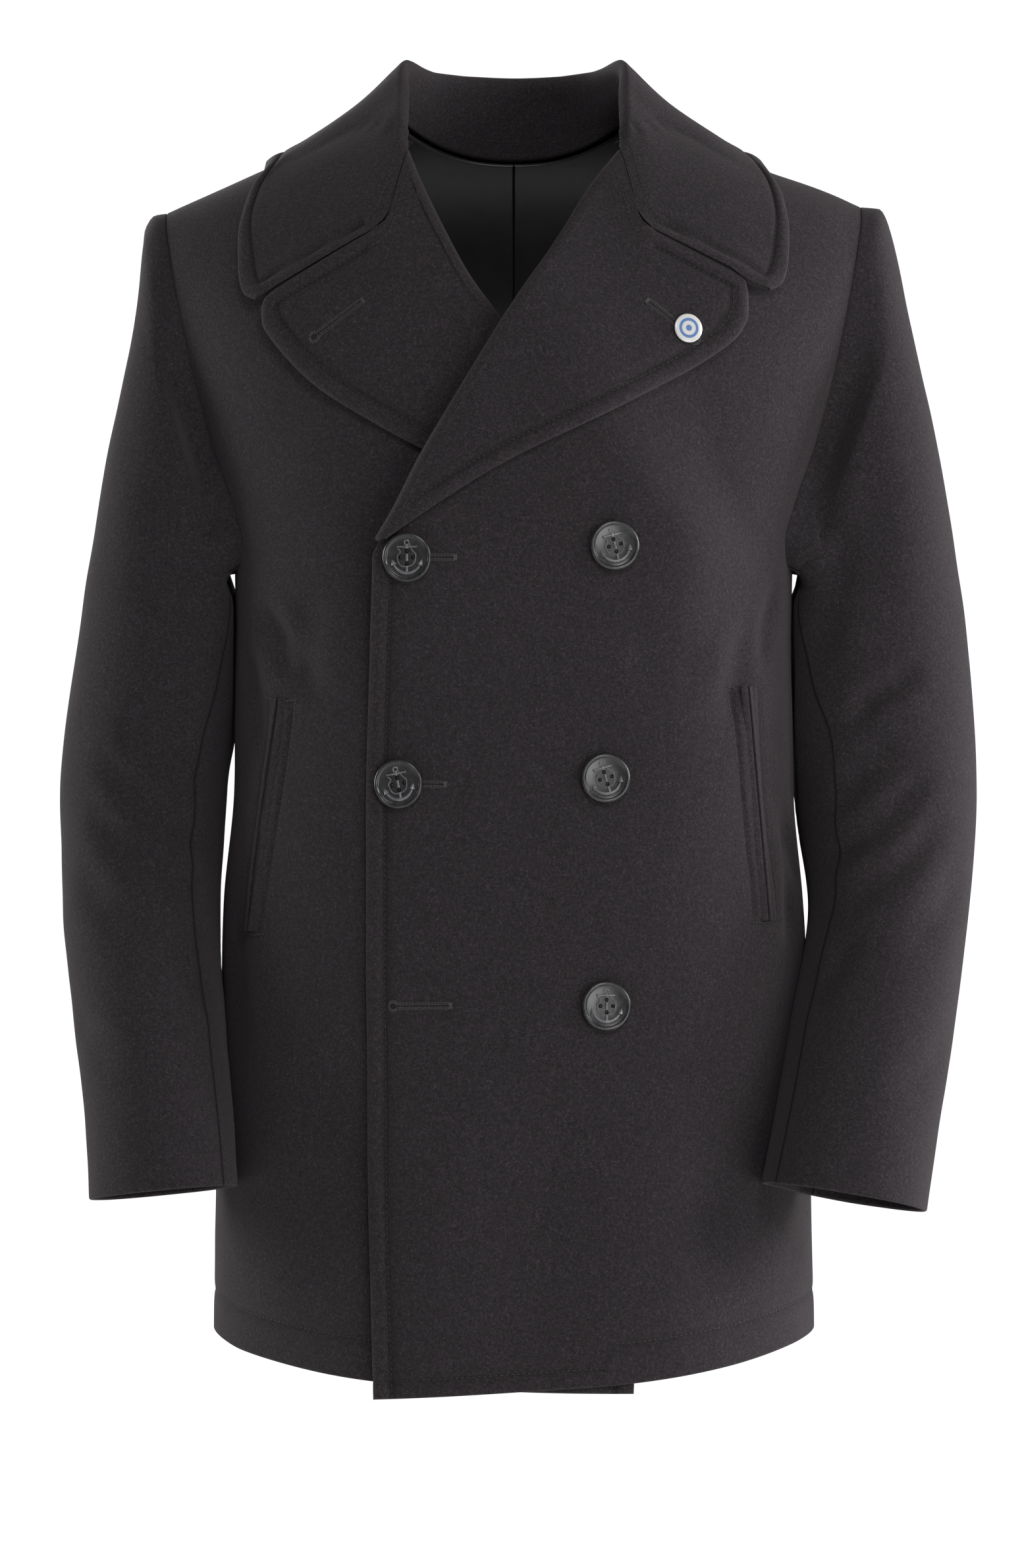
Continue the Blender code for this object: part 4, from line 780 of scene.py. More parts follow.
def armhole(turn, side):
    """Girth and reach of the armhole seam at even steps of its length: turn 0 is the shoulder
    point and 180 the armpit."""
    clock = np.linspace(0, 180, 361)
    girth, reach = armhole_by_clock(clock, side)
    points = surface(girth if side == "front" else pi - girth, reach)
    length = lengths_along(points)
    return armhole_by_clock(np.interp(turn, 180 * length / length[-1], clock), side)


# Rows of the body panels are counted from the hem: at 12 the side seam reaches the armpit, and
# at 25 the armhole reaches the shoulder.
ARMPIT_ROW, CORNER_ROW, SHOULDER_ROW = 12, 22, 25
BELOW_ARMPIT, ABOVE_ARMPIT = 0.50, 0.30


def body_rows(step):
    """Row numbers of a body panel's lines, by their distance up it."""
    up = places(BELOW_ARMPIT + ABOVE_ARMPIT, HEM_EDGE, SEAM_EDGE, step)
    return np.interp(up, (0, BELOW_ARMPIT, BELOW_ARMPIT + ABOVE_ARMPIT), (0, ARMPIT_ROW, SHOULDER_ROW))


def side_and_armhole(side, rows):
    """The side seam up to the armpit and the armhole up to the shoulder."""
    crown = FRONT_CROWN if side == "front" else BACK_CROWN
    z = np.interp(rows, (0, ARMPIT_ROW), (SIDE_HEM, -ARMPIT_DROP))
    x = np.full_like(z, 0.18)
    for _ in range(20):
        reach = reach_at(x, z, crown)
        x = half_width(drop_of(reach, crown))
    girth_up, reach_up = armhole(np.interp(rows, (ARMPIT_ROW, SHOULDER_ROW), (180, 0)), side)
    is_side = rows < ARMPIT_ROW
    return np.stack([np.where(is_side, pi / 2, girth_up), np.where(is_side, reach, reach_up)], axis=-1)


def ridge_girth(x):
    return float(girth_at(x, 0.0))


def back_neckline(share):
    """Girth and reach of the back's neckline, from the centre (0) to the side of the neck (1)."""
    girth = pi + share * (pi - ridge_girth(NECK_HALF_WIDTH) - pi)
    return np.stack([girth, NECK_DEPTH * np.sqrt(np.clip(1 - share ** 2, 0, 1))], axis=-1)


def front_neckline(share, left, start):
    """Girth and reach of a front's neckline, from its start (0) to the side of the neck (1)."""
    girth, reach, _ = lifted_coordinates(*start, 0.0, left)
    start = np.array([girth, reach])
    neck = np.array([ridge_girth(NECK_HALF_WIDTH), 0.0])
    return start + share[:, None] * (neck - start)


def fold_share(z):
    least, start, end = FOLD_TAPER
    return 1 - (1 - least) * smoothstep(-np.asarray(z), -start, -end)


def front_edge_points(z, left):
    """Girth and reach of the front's edge at heights from the hem to the collar."""
    edge, roll = (LEFT_EDGE, LEFT_ROLL) if left else (RIGHT_EDGE, RIGHT_ROLL)
    corner_x, corner_z = FRONT_CORNER
    cut_back = corner_x - TUCK - roll_line(roll, corner_z)
    folded = roll_line(roll, z) + TUCK * fold_share(z) + cut_back * smoothstep(z, corner_z - 0.035, corner_z)
    open_edge = column(edge, EDGE_COLUMNS, "x", z)
    turning = smoothstep(z, -0.2880, -0.2765)
    girth, reach, _ = lifted_coordinates(open_edge + (folded - open_edge) * turning, z, 0.0, left)
    return np.stack([girth, reach], axis=-1)


# Creases of the fronts by side, as seen from the front (mirrored for the right), and of the
# back: the line's points, width and depth.
FRONT_CREASES = {
    True: (
        (((0.150, -0.318), (0.139, -0.350), (0.131, -0.400)), 0.012, 0.0032),
        (((0.167, -0.425), (0.173, -0.475), (0.171, -0.540)), 0.011, 0.0048),
        (((0.110, -0.560), (0.118, -0.640), (0.121, -0.760)), 0.028, 0.0037),
        (((0.020, -0.600), (0.016, -0.680), (0.018, -0.790)), 0.030, 0.0030),
        (((-0.045, -0.620), (-0.050, -0.700), (-0.046, -0.790)), 0.024, -0.0022),
        (((0.060, -0.330), (0.090, -0.350), (0.128, -0.352)), 0.014, 0.0026),
        (((0.1700, -0.440), (0.1765, -0.470), (0.1800, -0.500)), 0.008, 0.0030),
        (((0.1660, -0.296), (0.1560, -0.330), (0.1530, -0.362)), 0.008, 0.0026),
    ),
    False: (
        (((0.166, -0.312), (0.150, -0.338), (0.128, -0.360), (0.106, -0.376)), 0.0120, 0.0046),
        (((0.146, -0.334), (0.139, -0.350), (0.135, -0.366)), 0.0070, -0.0022),
        (((0.160, -0.312), (0.146, -0.335), (0.136, -0.368)), 0.009, 0.0045),
        (((0.168, -0.330), (0.161, -0.372), (0.158, -0.420)), 0.010, 0.0035),
        (((0.120, -0.300), (0.128, -0.340), (0.130, -0.380)), 0.012, 0.0026),
        (((0.110, -0.560), (0.116, -0.650), (0.118, -0.770)), 0.026, 0.0035),
        (((0.170, -0.470), (0.173, -0.540), (0.171, -0.610)), 0.014, 0.0035),
    ),
}
BACK_CREASES = (
    (((0.155, -0.300), (0.120, -0.345), (0.080, -0.372)), 0.013, 0.0029),
    (((0.160, -0.345), (0.130, -0.400), (0.100, -0.420)), 0.012, 0.0021),
    (((0.140, -0.180), (0.138, -0.250), (0.146, -0.310)), 0.016, 0.0026),
    (((0.090, -0.500), (0.096, -0.600), (0.098, -0.740)), 0.030, 0.0036),
    (((0.030, -0.420), (0.060, -0.440), (0.100, -0.436)), 0.016, 0.0018),
)
DIMPLE = (0.0140, 0.0010)  # what each button's thread does to the cloth: radius and depth


def hem_inset(points, left):
    """Distance of the hem's sewn line from the edge: it steps up towards the side on the left
    front, and runs high all along the right one."""
    if left:
        return HEM_INSET + (HIGH_HEM_INSET - HEM_INSET) * smoothstep(points[..., 0], 0.054, 0.060)
    return np.full(points.shape[:2], HIGH_HEM_INSET)


def front_panel(left):
    """One front, from its edge to the side seam."""
    hem, pocket = (LEFT_HEM, LEFT_POCKET) if left else (RIGHT_HEM, RIGHT_POCKET)
    rows = body_rows(0.0026)
    heights = (hem[0][1], -0.2850, -0.2775, FRONT_CORNER[1])
    z = np.interp(rows, (0, ARMPIT_ROW, ARMPIT_ROW + 1, CORNER_ROW), heights)
    edge = front_edge_points(z, left)
    neckline = front_neckline(np.interp(rows, (CORNER_ROW, SHOULDER_ROW), (0, 1)), left, FRONT_CORNER)
    first = np.where((rows < CORNER_ROW)[:, None], edge, neckline)
    last = side_and_armhole("front", rows)
    width = 0.300
    across = places(width, SEWN_EDGE, SEAM_EDGE, 0.0027, (0.178, 0.226, 0.0012)) / width
    girth = first[0, 0] + across * (pi / 2 - first[0, 0])
    hem_x = surface(girth, first[0, 1])[..., 0]
    hem_z = column(hem, HEM_COLUMNS, "z", hem_x)
    bottom = np.stack([girth, reach_at(hem_x, hem_z, FRONT_CROWN)], axis=-1)
    bottom[0], bottom[-1] = first[0], last[0]
    top = np.stack([first[-1, 0] + across * (last[-1, 0] - first[-1, 0]), 0 * across], axis=-1)
    patch = coons(bottom, top, first, last, rows / SHOULDER_ROW, across)
    girth, reach = np.minimum(patch[..., 0], pi / 2), np.maximum(patch[..., 1], 0)
    shell = surface(girth, reach)
    lift = overlap_lift(shell[..., 0], shell[..., 2]) if left else 0.0 * reach
    outer, inner = body_point(girth, reach, lift), body_point(girth, reach, lift - WALL)
    middle = (outer + inner) / 2

    creases = [(on_front(*np.array(line).T, 0.0, left), *shape) for line, *shape in FRONT_CREASES[left]]
    soft = creased(middle, unevenness(middle, "front", left), creases)
    radius, depth = DIMPLE
    for x, z in BUTTONS.values() if left else ():
        gap = np.linalg.norm(middle - on_front(x, z, -WALL / 2, True), axis=2)
        soft = soft - depth * np.exp(-((gap / radius) ** 2))

    distance = border_distances(middle)
    below_break = 1 - smoothstep(shell[..., 2], -0.300, -0.285)
    from_edge = distance["first_column"]
    fine = (sewn_trough(from_edge - STITCH_INSET) + edge_roll(from_edge)) * below_break
    fine = fine + sewn_trough(distance["first_row"] - hem_inset(middle, left), 0.0011)
    x, z = np.array(pocket).T
    share, gap = beside(outer, on_front(x, z, 0.0, left))
    in_pocket = smoothstep(share, 0.0, 0.03) * (1 - smoothstep(share, 0.97, 1.0))
    padding = POCKET_PADDING * (1 - smoothstep(gap, 0.0075, POCKET_INSET + 0.001)) * in_pocket
    fine = fine + padding + sewn_trough(gap - POCKET_INSET, 0.0009, 0.0016) * in_pocket
    seams = {"last_column": 1.0, "last_row": 1.0}
    name = f"front_{SIDE[left]}"
    made = cloth_wall(name, outer, inner, left, soft, fine, seams, seams, ("first_row", "first_column"))
    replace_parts(made, name)


def back_panel(left):
    """Half the back, from the centre seam to the side seam and armhole."""
    rows = body_rows(0.0034)
    hem_reach = float(reach_at(0.0, BACK_HEM, BACK_CROWN))
    centre = np.interp(rows, (0, SHOULDER_ROW), (hem_reach, NECK_DEPTH))
    first = np.stack([np.full(len(rows), pi), centre], axis=-1)
    last = side_and_armhole("back", rows)
    last[:, 0] = pi - last[:, 0]
    width = 0.255
    across = places(width, SEAM_EDGE, SEAM_EDGE, 0.0033) / width
    bottom = first[0] + across[:, None] * (last[0] - first[0])
    neckline = back_neckline(np.minimum(across / NECK_TURN, 1))
    shoulder = np.interp(across, (NECK_TURN, 1), (neckline[-1, 0], last[-1, 0]))
    top = np.where((across < NECK_TURN)[:, None], neckline, np.stack([shoulder, 0 * shoulder], axis=-1))
    patch = coons(bottom, top, first, last, rows / SHOULDER_ROW, across)
    girth, reach = np.clip(patch[..., 0], pi / 2 + 1e-6, pi), np.maximum(patch[..., 1], 0)
    outer, inner = body_point(girth, reach, 0 * reach), body_point(girth, reach, 0 * reach - WALL)
    for skin in (outer, inner):
        skin[:, 0, 0] = 0
    creases = [(on_back(*np.array(line).T), *shape) for line, *shape in BACK_CREASES]
    soft = creased(outer, unevenness(outer, "back", left), creases)
    fine = sewn_trough(border_distances(outer)["first_row"] - HIGH_HEM_INSET, 0.0011)
    seams = {"first_column": 1.0, "last_column": 1.0, "last_row": 1.0}
    name = f"back_{SIDE[left]}"
    made = cloth_wall(name, outer, inner, left, soft, fine, seams, seams, ("first_row",))
    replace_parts(made, name)


# ---- lapels


PRESSED_REACH = 0.016  # how far in from its edge the iron has thinned the cloth


def pressed_edge(outer, inner, from_edge, fall, under_fall):
    """Skins whose free edge is pressed thinner and closer to what it lies on."""
    share = (1 - smoothstep(from_edge, 0, PRESSED_REACH))[..., None] * unit(outer - inner)
    return outer - fall * share, inner - under_fall * share


FOLD_LINES, LEAF_LINES = 25, 42  # grid lines round the fold and over the flat of the leaf


def lapel(left):
    """The facing: it shows on the turned-back lapel, rolls over the front's edge and ends inside."""
    shape = LEFT_LAPEL if left else RIGHT_LAPEL
    length = 0.285
    t = places(length, SEWN_EDGE, SEAM_EDGE, 0.0024) / length
    rows = len(t)
    roll, outer = along(shape["roll"], t), along(shape["outer"], t)
    foot = np.array([shape["roll"][-1], shape["outer"][-1]])
    heading = unit(np.gradient(roll, axis=0))
    across_roll = np.stack([-heading[:, 1], heading[:, 0]], axis=-1)
    # The top row leaves along the gorge seam, the others square to the roll line.
    gorge = np.array(shape["top"][1]) - np.array(shape["top"][0])
    mix = smoothstep(t, 0.0, 0.16)[:, None]
    outwards = unit(mix * across_roll + (1 - mix) * gorge / np.linalg.norm(gorge))
    narrow = np.linalg.norm(outer - roll, axis=1)
    taper = fold_share(roll[:, 1])

    # The fold, from inside the front round its edge.
    fold = smooth(np.arange(len(FOLD)), np.array(FOLD), np.linspace(0, len(FOLD) - 1, FOLD_LINES))
    places_out, heights = {}, {}
    for skin, names in {"outer": ("out", "height"), "inner": ("inner_out", "inner_height")}.items():
        o, h = (FOLD_COLUMNS.index(column_name) for column_name in names)
        out = fold[None, :, o] * np.where(fold[None, :, o] > TUCK, 1, taper[:, None])
        places_out[skin] = roll[:, None] + outwards[:, None] * np.minimum(out, narrow[:, None])[..., None]
        heights[skin] = np.broadcast_to(fold[:, h], (rows, len(fold)))

    # The leaf, with its lines at the same distances from the free edge in every row.
    start = np.minimum(TUCK / np.maximum(narrow, 0.001), 0.7)
    room = narrow * (1 - start)
    squeeze = np.minimum(room * 0.8 / SEWN_EDGE[-1], 1.0)
    edge_shares = 1 - SEWN_EDGE[::-1][None] * squeeze[:, None] / narrow[:, None]
    inner_lines = np.linspace(0.03, 1, LEAF_LINES)[None, :-1]
    inner_shares = start[:, None] + inner_lines * (edge_shares[:, :1] - start[:, None])
    u = np.concatenate([inner_shares, edge_shares], axis=1)
    top = smooth(np.linspace(0, 1, len(shape["top"])), np.array(shape["top"]), u.ravel()).reshape(*u.shape, 2)
    bottom = foot[0] + u[..., None] * (foot[1] - foot[0])
    v, w = t[:, None, None], u[..., None]
    corners = (1 - v) * ((1 - w) * roll[0] + w * outer[0]) + v * ((1 - w) * foot[0] + w * foot[1])
    leaf = (1 - v) * top + v * bottom + (1 - w) * roll[:, None] + w * outer[:, None] - corners
    stand_off = shape["tip_lift"] * (1 - smoothstep(t, 0.0, 0.55))[:, None] * u ** 2
    skins = []
    for skin, h in (("outer", LEAF_TOP), ("inner", LEAF_BOTTOM)):
        place = np.concatenate([places_out[skin], leaf], axis=1)
        height = np.concatenate([heights[skin], h + stand_off], axis=1)
        skins.append(on_front(place[..., 0], place[..., 1], height, left))
    middle = (skins[0] + skins[1]) / 2
    distance = border_distances(middle)
    # The top row is a seam as far as the notch, where its outline turns.
    notch = np.linalg.norm(middle[0, :, [0, 2]].T - shape["top"][NOTCH_POINT], axis=1).argmin()
    to_notch = distance["first_column"][:1, notch]
    past_notch = smoothstep(distance["first_column"], to_notch - 0.002, to_notch + 0.003)
    from_edge = np.minimum(distance["last_column"], distance["first_row"] + 1 - past_notch)
    fade = smoothstep(narrow, 0.012, 0.030)[:, None]
    fine = (sewn_trough(from_edge - STITCH_INSET) + edge_roll(from_edge)) * fade
    skins = pressed_edge(*skins, from_edge, 0.0012, 0.0005)
    soft = unevenness(middle, "lapel", left, 0.0003)
    name = f"lapel_{SIDE[left]}"
    made = cloth_wall(name, *skins, left, soft, fine, {"first_row": 1 - past_notch}, ("first_row",), (), 1)
    finished[name]["distances"]["edge"] = from_edge
    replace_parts(made, name)


# ---- collar

NOTCH_POINT = 4  # the notch's place along a lapel's top
NOTCH_COLUMN = 7  # and among the points of the collar's end, with the neck's two before them


def neck_band(s, left):
    """The collar's foot on the necklines, as points of its skin on the neck's side."""
    back = s <= NECK_SIDE
    at_back = back_neckline(np.clip(s / NECK_SIDE, 0, 1))
    share = 0.16 + 0.84 * np.clip((1 - s) / (1 - NECK_SIDE), 0, 1)
    at_front = front_neckline(share, left, COLLAR_START)
    line = np.where(back[:, None], at_back, at_front)
    foot = surface(line[:, 0], line[:, 1])
    inwards = unit(np.array([0.0, -0.012, 0.0]) - foot * (1, 1, 0))
    return foot + inwards * 0.0036 + np.array([0, 0, 0.0012])


def closed_gorge(ends, left):
    """The collar's front end, brought up to the lapel: sewn to it as far as the notch, and just
    clear of it from there to the lapel's tip."""
    top = np.array((LEFT_LAPEL if left else RIGHT_LAPEL)["top"])
    top = smooth(np.linspace(0, 1, len(top)), top, np.linspace(0, 1, 500))
    rows = np.array(ends)
    place = rows[2:, :2]
    gap = place[:, None] - top[None]
    nearest = np.linalg.norm(gap, axis=2).argmin(axis=1)
    away = gap[np.arange(len(place)), nearest]
    distance = np.linalg.norm(away, axis=1, keepdims=True)
    wanted = np.interp(np.arange(len(place)), (0, 3, 6, 10), (0.0002, 0.0002, 0.0012, 0.0018))[:, None]
    mix = 1 - smoothstep(distance, 0.003, 0.008)
    rows[2:, :2] = place + (top[nearest] + away / distance * wanted - place) * mix
    return rows


def half_collar(left, s):
    """Points of the collar's outer skin on one side, rows from the centre back to the roll line
    and columns from the neck seam over the turn to the outer edge."""
    ends, edges = (LEFT_COLLAR_END, LEFT_COLLAR_EDGE) if left else (RIGHT_COLLAR_END, RIGHT_COLLAR_EDGE)
    w = np.linspace(0, 1, len(ends) - 1) ** 1.2
    end = on_front(*closed_gorge(ends, left).T, left)
    foot = neck_band(s, left)
    foot[-1] = (foot[-1] + end[0]) / 2
    stand_end = foot[-1] * 0.4 + end[0] * 0.6
    knots = [at for at, _ in COLLAR_SECTIONS] + [1.0]
    sections = [np.concatenate([[section[0]], along(section[1:], w)]) for _, section in COLLAR_SECTIONS]
    sections.append(np.concatenate([[stand_end], end[1:]]))
    # The other side's nearest section goes first, so the two halves meet smoothly.
    knots = [-knots[1]] + knots
    sections = [sections[1] * (-1, 1, 1)] + sections
    skin = np.concatenate([foot[:, None], smooth(knots, np.array(sections), s)], axis=1)
    # From the shoulder on, the outer edge keeps to its outline.
    seen = s >= edges[0][0]
    x, z, height = (column(edges, COLLAR_EDGE_COLUMNS, name, s[seen]) for name in COLLAR_EDGE_COLUMNS[1:])
    shift = on_front(x, z, height, left) - skin[seen, -1]
    ease = smoothstep(s[seen], edges[0][0] - 0.12, edges[0][0] + 0.04)[:, None, None]
    skin[seen, 2:] += ease * shift[:, None] * w[None, :, None] ** 2
    return skin


def collar():
    half_length, width = 0.330, 0.150
    s = places(half_length, np.array([0.0]), SEWN_EDGE, 0.0026) / half_length
    across = places(width, SEAM_EDGE, SEWN_EDGE, 0.0025) / width
    halves = {}
    mirror = np.array([-1.0, 1.0, 1.0])
    for left in (True, False):
        skin = half_collar(left, s)
        skin[:-1, 4:] = kept_clear(skin[:-1, 4:], body_sheet(left), COLLAR_WALL + LAYER_GAP + 0.0011)
        halves[left] = skin
    skin = np.concatenate([halves[False][:0:-1] * mirror, halves[True]])
    normal = grid_normals(skin)
    if normal[len(s) - 1, -2, 1] < 0:
        normal = -normal
    under = skin - normal * COLLAR_WALL
    # The ends meet the lapels squarely.
    for row, ends, left in ((-1, LEFT_COLLAR_END, True), (0, RIGHT_COLLAR_END, False)):
        x, z, height = closed_gorge(ends, left)[2:].T
        under[row, 3:] = on_front(x, z, height - COLLAR_WALL, left) * (1 if left else mirror)
    to_notch = np.linalg.norm(np.diff(skin[-1, : NOTCH_COLUMN + 1], axis=0), axis=1).sum()
    outer, inner = smooth_rows(skin, across), smooth_rows(under, across)
    middle = (outer + inner) / 2
    distance = border_distances(middle)
    past_notch = smoothstep(distance["first_column"], to_notch - 0.002, to_notch + 0.003)
    ends = np.minimum(distance["first_row"], distance["last_row"])
    from_edge = np.minimum(distance["last_column"], ends + 1 - past_notch)
    fine = sewn_trough(from_edge - STITCH_INSET) + edge_roll(from_edge)
    outer, inner = pressed_edge(outer, inner, from_edge, 0.0022, 0.0010)
    soft = unevenness(middle, "collar", True, 0.0003)
    seams = {"first_column": 1.0, "first_row": 1 - past_notch, "last_row": 1 - past_notch}
    made = cloth_wall("collar", outer, inner, True, soft, fine, seams, seams, (), 1)
    finished["collar"]["distances"]["edge"] = from_edge
    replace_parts(made, "collar")


# ---- sleeves


def armhole_ring(clock, lift=0.0):
    """Points of the armhole seam on the wearer's left, by clock round the front, at some height
    over the body's surface."""
    table = np.linspace(0, 360, 721)
    ring = np.empty((len(table), 3))
    for side, chosen in (("front", table <= 180), ("back", table > 180)):
        girth, reach = armhole(np.where(table <= 180, table, 360 - table)[chosen], side)
        girth = girth if side == "front" else pi - girth
        ring[chosen] = body_point(girth, reach, np.full(chosen.sum(), lift))
    return np.stack([np.interp(np.mod(clock, 360), table, ring[:, k]) for k in range(3)], axis=-1)


def sleeve_points(left, clock, share):
    """Points of the sleeve's outer skin for pairs of clock and share of its length."""
    table, head = (LEFT_SLEEVE, LEFT_SLEEVE_HEAD) if left else (RIGHT_SLEEVE, RIGHT_SLEEVE_HEAD)
    ring = armhole_ring(clock)
    rings = [ring]
    folded = np.where(np.mod(clock, 360) <= 180, np.mod(clock, 360), 360 - np.mod(clock, 360))
    for place in ("crown", "turn"):
        out = column(head, SLEEVE_HEAD_COLUMNS, f"{place}_out", folded)
        down = column(head, SLEEVE_HEAD_COLUMNS, f"{place}_down", folded)
        rings.append(ring + np.stack([out, 0 * out, -down], axis=-1))
    turn = np.radians(clock)
    for k, (outer_x, outer_z, inner_x, inner_z, mid_y, half_depth, front_rise) in enumerate(table):
        # The first rings are squarer, like the armhole they leave.
        depth = np.sign(np.sin(turn)) * np.abs(np.sin(turn)) ** np.interp(k, (0, 3), (0.62, 1.0))
        middle = np.array([(outer_x + inner_x) / 2, mid_y, (outer_z + inner_z) / 2])
        sideways = np.array([(outer_x - inner_x) / 2, 0, (outer_z - inner_z) / 2])
        forwards = np.array([0, -half_depth, front_rise])
        rings.append(middle + np.outer(np.cos(turn), sideways) + np.outer(depth, forwards))
    return smooth_rows(np.stack(rings, axis=1), share[:, None], overshoots=False)[:, 0]


# Creases of a sleeve: the line's points as (clock, share of the length), width and depth. Clock
# 0 faces outwards, 90 the front, 180 the body and 270 the back.
SLEEVE_CREASES = {
    True: (
        (((114, 0.372), (98, 0.365), (80, 0.378), (60, 0.396)), 0.0080, 0.0052),
        (((122, 0.430), (104, 0.425), (84, 0.440)), 0.0100, 0.0030),
        (((134, 0.020), (143, 0.050), (149, 0.090)), 0.0120, -0.0105),
        (((60, 0.500), (95, 0.520), (130, 0.505), (160, 0.480)), 0.010, 0.0048),
        (((50, 0.560), (85, 0.590), (120, 0.585), (150, 0.560)), 0.011, 0.0042),
        (((75, 0.455), (105, 0.450), (140, 0.430)), 0.009, 0.0027),
        (((30, 0.640), (60, 0.680), (95, 0.700)), 0.014, 0.0030),
        (((110, 0.640), (130, 0.690), (140, 0.750)), 0.011, 0.0027),
        (((100, 0.120), (118, 0.180), (132, 0.260)), 0.012, 0.0036),
        (((80, 0.100), (92, 0.190), (100, 0.300)), 0.016, 0.0027),
        (((300, 0.480), (270, 0.500), (240, 0.490)), 0.018, -0.0030),
        (((262, 0.140), (250, 0.220), (238, 0.300)), 0.014, 0.0030),
        (((20, 0.820), (50, 0.860), (80, 0.870)), 0.013, 0.0021),
    ),
    False: (
        (((88, 0.352), (104, 0.372), (120, 0.400), (134, 0.428)), 0.0080, 0.0050),
        (((78, 0.410), (96, 0.425), (112, 0.450)), 0.0100, 0.0030),
        (((134, 0.020), (143, 0.050), (149, 0.090)), 0.0120, -0.0105),
        (((55, 0.490), (90, 0.505), (125, 0.500), (155, 0.470)), 0.010, 0.0048),
        (((45, 0.555), (80, 0.575), (115, 0.580), (145, 0.555)), 0.011, 0.0039),
        (((70, 0.430), (100, 0.440), (135, 0.425)), 0.010, 0.0027),
        (((40, 0.640), (70, 0.665), (100, 0.690)), 0.013, 0.0030),
        (((105, 0.650), (125, 0.700), (138, 0.760)), 0.011, 0.0027),
        (((100, 0.120), (116, 0.190), (130, 0.270)), 0.012, 0.0036),
        (((78, 0.110), (90, 0.200), (98, 0.300)), 0.016, 0.0027),
        (((300, 0.470), (270, 0.490), (240, 0.480)), 0.018, -0.0030),
        (((262, 0.140), (250, 0.220), (238, 0.300)), 0.014, 0.0030),
        (((15, 0.800), (45, 0.835), (75, 0.850)), 0.013, 0.0021),
    ),
}


def sleeve(left):
    """Top sleeve and under sleeve, which meet at a seam at the front and one at the back."""
    seam = LEFT_SLEEVE_SEAM if left else RIGHT_SLEEVE_SEAM
    length = 0.620
    share = places(length, SEAM_EDGE, SEAM_EDGE, 0.0029) / length
    front_seam = column(seam, SLEEVE_SEAM_COLUMNS, "clock", share)[:, None]
    tree = body_sheet(left)
    free = int((share < 0.035).sum())
    creases = [(sleeve_points(left, *np.array(line).T), *shape) for line, *shape in SLEEVE_CREASES[left]]
    for name, first, last, width in (("sleeve_top", BACK_SLEEVE_SEAM - 360, front_seam, 0.285),
                                     ("sleeve_under", front_seam, BACK_SLEEVE_SEAM, 0.125)):
        clock = first + places(width, SEAM_EDGE, SEAM_EDGE, 0.0029)[None] / width * (last - first)
        # One more column each side, so that both pieces' walls meet squarely at a seam.
        clock = np.concatenate([clock[:, :1] - 1, clock, clock[:, -1:] + 1], axis=1)
        shares = np.broadcast_to(share[:, None], clock.shape)
        skin = sleeve_points(left, clock.ravel(), shares.ravel()).reshape(*clock.shape, 3)
        skin[free:] = kept_clear(skin[free:], tree, 0.0018)
        normal = -grid_normals(skin)
        middle = (skin - normal * WALL / 2)[:, 1:-1]
        normal, shares = normal[:, 1:-1], shares[:, 1:-1]
        start = armhole_ring(clock[0, 1:-1], -WALL / 2)
        middle = middle + (start - middle[0]) * (1 - smoothstep(shares, 0, 0.018))[..., None]
        soft = creased(middle, unevenness(middle, "sleeve", left), creases)
        seams = {"first_row": 1.0, "first_column": 1.0, "last_column": 1.0}
        half = normal * WALL / 2
        whole = f"{name}_{SIDE[left]}"
        skins = middle + half, middle - half
        made = cloth_wall(whole, *skins, left, soft, 0.0, seams, ("first_row",), ("last_row",))
        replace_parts(made, whole)


# ---- pockets


def pocket(left):
    """The slit's two welts, each a rolled lip, and the pocketing that shows between them, coloured near-black
    as painted shade in the slit.
    """
    side = SIDE[left]
    top, bottom = LEFT_POCKET if left else RIGHT_POCKET
    length = float(np.hypot(*np.subtract(top, bottom)))
    t = places(length, SEAM_EDGE, SEAM_EDGE, 0.0015) / length
    x, z = (np.interp(t, (0, 1), (top[k], bottom[k])) for k in range(2))
    girth, reach, _ = lifted_coordinates(x, z, 0.0, left)
    # The right pocket gapes a little more than the left one.
    gape = WELT_GAP / 2 + (0.0003 if left else 0.0020) * np.sin(pi * t) ** 0.7
    metres_per_girth = 0.150
    w = np.linspace(0, 1, 15)[None]

    def strip(near, far, height):
        offset = near + (far - near) * w
        g = girth[:, None] + offset / metres_per_girth
        r = np.repeat(reach[:, None], w.shape[1], axis=1)
        shell = surface(g, r)
        lift = overlap_lift(shell[..., 0], shell[..., 2]) if left else 0.0 * r
        return body_point(g, r, lift + height)

    edge, bag_height = gape[:, None] * 1.5, POCKET_PADDING + 0.0003 + 0 * w
    outer, inner = strip(-edge, edge, bag_height), strip(-edge, edge, bag_height - 0.0006)
    pocketing = cloth_wall(f"pocketing_{side}", outer, inner, left, coarser=1, pieces=None)
    # The pocketing takes the near-black finish: painted shade in the slit.
    pocketing.data.materials[0] = shade
    for name, sense in (("front", -1), ("back", 1)):
        near, far = sense * gape[:, None], sense * (gape[:, None] + WELT_WIDTH)
        height = 0.0028 - 0.0017 * w ** 1.6
        whole = f"pocket_welt_{name}_{side}"
        outer, inner = strip(near, far, height), strip(near, far, height - 0.0016)
        sewn_on = [pocketing] if name == "front" else ()
        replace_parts(cloth_wall(whole, outer, inner, left, coarser=1, pieces=sewn_on), whole)


# ---- finishes


def new_material(name):
    made = bpy.data.materials.new(name)
    made.use_nodes = True
    return made, made.node_tree.nodes, made.node_tree.links


